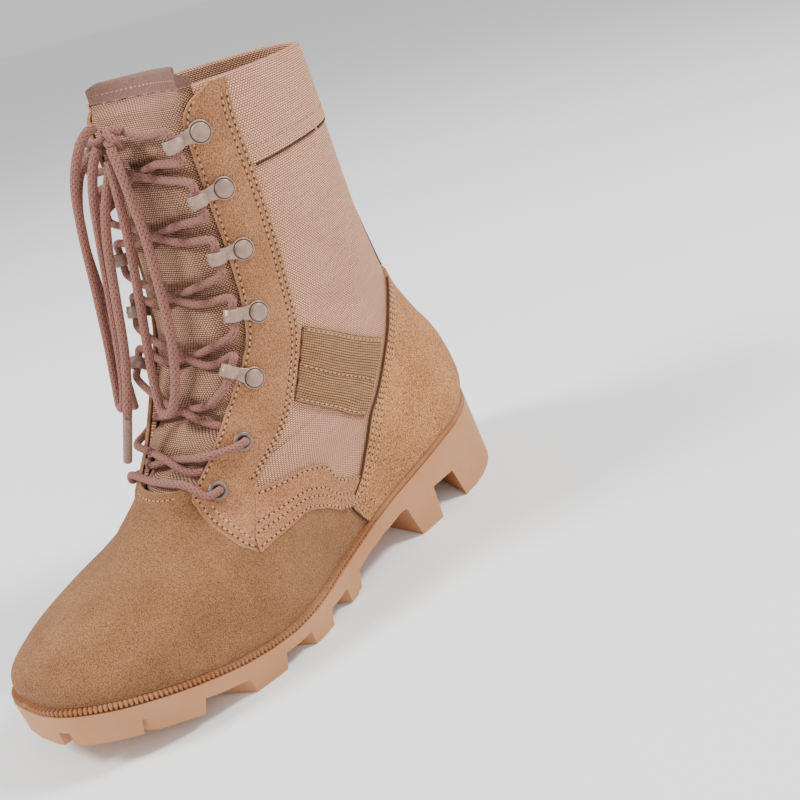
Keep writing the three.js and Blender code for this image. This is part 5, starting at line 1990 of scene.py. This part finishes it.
    @staticmethod
    def hang(node: str, line: Array, far_end: str, *on_it: Piece) -> None:
        """Args:
            node: The CAD node that it stands for.
            line: Its centre line in millimetres, from where it leaves the knot.
            far_end: What its far end is, in the frame's words; not used.
            on_it: The pieces on it; not used.
        """
        builder = bmesh.new()
        cord_tube(builder, line)
        piece = settle(new_object(f"{node}_cord", builder, (CORD,)), node)
        float(run_of(line)[-1]) * MM


# ---- studio ---------------------------------------------------------------------------------------


@dataclass(frozen=True)
class FloorFinish(Finish):
    """Plain pale floor."""

    colour: Colour = (0.93, 0.93, 0.93)

    def dress(self, graph: Graph, shader: Node) -> None:
        """Adds a barely seen shade."""
        shade = graph.noise(self.places(graph), 6.0, 2.0)
        graph.feed(shader.inputs["Base Color"], graph.mix(shade, self.colour, tint(self.colour, 1.02)))
        shader.inputs["Roughness"].default_value = 0.8
        self.gloss(shader, 0.1)


@dataclass
class Studio:
    """A plain pale floor, a white room, soft lights and the camera."""

    eye: tuple[float, float, float] = (398.1, -294.0, 284.5)
    azimuth: float = 44.85
    elevation: float = 22.47
    roll: float = -15.10
    lens: float = 48.0

    def build(self) -> None:
        """Sets up the floor, the world, the lights and the camera."""
        self.floor()
        self.world()
        self.light("key", (-0.6, -1.0, 1.3), 0.4, 29.0)
        self.light("fill", (1.3, -0.25, 0.7), 0.9, 4.0)
        self.light("top", (0.7, 0.8, 1.5), 0.4, 30.0)
        self.camera()

    def floor(self) -> None:
        """A wide pale floor under the boot."""
        builder = bmesh.new()
        bmesh.ops.create_grid(builder, x_segments=1, y_segments=1, size=40.0)
        mesh = bpy.data.meshes.new("floor")
        builder.to_mesh(mesh)
        builder.free()
        mesh.materials.append(FloorFinish(name="studio floor").material())
        floor = bpy.data.objects.new("floor", mesh)
        bpy.context.scene.collection.objects.link(floor)

    def world(self) -> None:
        """An even white surround."""
        world = bpy.data.worlds.new("studio")
        world.use_nodes = True
        background = world.node_tree.nodes["Background"]
        background.inputs["Color"].default_value = (1.0, 1.0, 1.0, 1.0)
        background.inputs["Strength"].default_value = 0.75
        bpy.context.scene.world = world

    def light(self, name: str, place: tuple[float, float, float], size: float, power: float) -> None:
        """One soft square light aimed at the boot."""
        lamp = bpy.data.lights.new(name, "AREA")
        lamp.size, lamp.energy = size, power
        holder = bpy.data.objects.new(name, lamp)
        way = Vector((0.0, 0.0, 0.12)) - Vector(place)
        holder.location = place
        holder.rotation_euler = way.to_track_quat("-Z", "Y").to_euler()
        bpy.context.scene.collection.objects.link(holder)

    def camera(self) -> None:
        """The camera, looking down on the boot's outer front quarter."""
        az, el, roll = (math.radians(a) for a in (self.azimuth, self.elevation, self.roll))
        back = Vector((math.sin(az) * math.cos(el), -math.cos(az) * math.cos(el), math.sin(el)))
        right = (-back).cross(Vector((0, 0, 1))).normalized()
        up = right.cross(-back)
        turned = right * math.cos(roll) + up * math.sin(roll)
        above = up * math.cos(roll) - right * math.sin(roll)
        data = bpy.data.cameras.new("camera")
        data.lens, data.sensor_width = self.lens, 36.0
        data.clip_start = 0.01
        camera = bpy.data.objects.new("camera", data)
        rows = [[turned[i], above[i], back[i], self.eye[i] * MM] for i in range(3)]
        camera.matrix_world = Matrix([*rows, [0, 0, 0, 1]])
        bpy.context.scene.collection.objects.link(camera)
        bpy.context.scene.camera = camera


# ---- the whole boot -------------------------------------------------------------------------------


def main() -> None:
    """Builds the boot from the sole up, and sets the studio round it."""
    logging.basicConfig(level=logging.INFO, format="%(message)s")
    Sole().build()
    Upper().build()
    Hardware().build()
    lacing = Lacing()
    lacing.plan()
    Tongue().build([line for lines in lacing.lines.values() for line in lines])
    lacing.build()
    Studio().build()


if __name__ == "__main__":
    main()
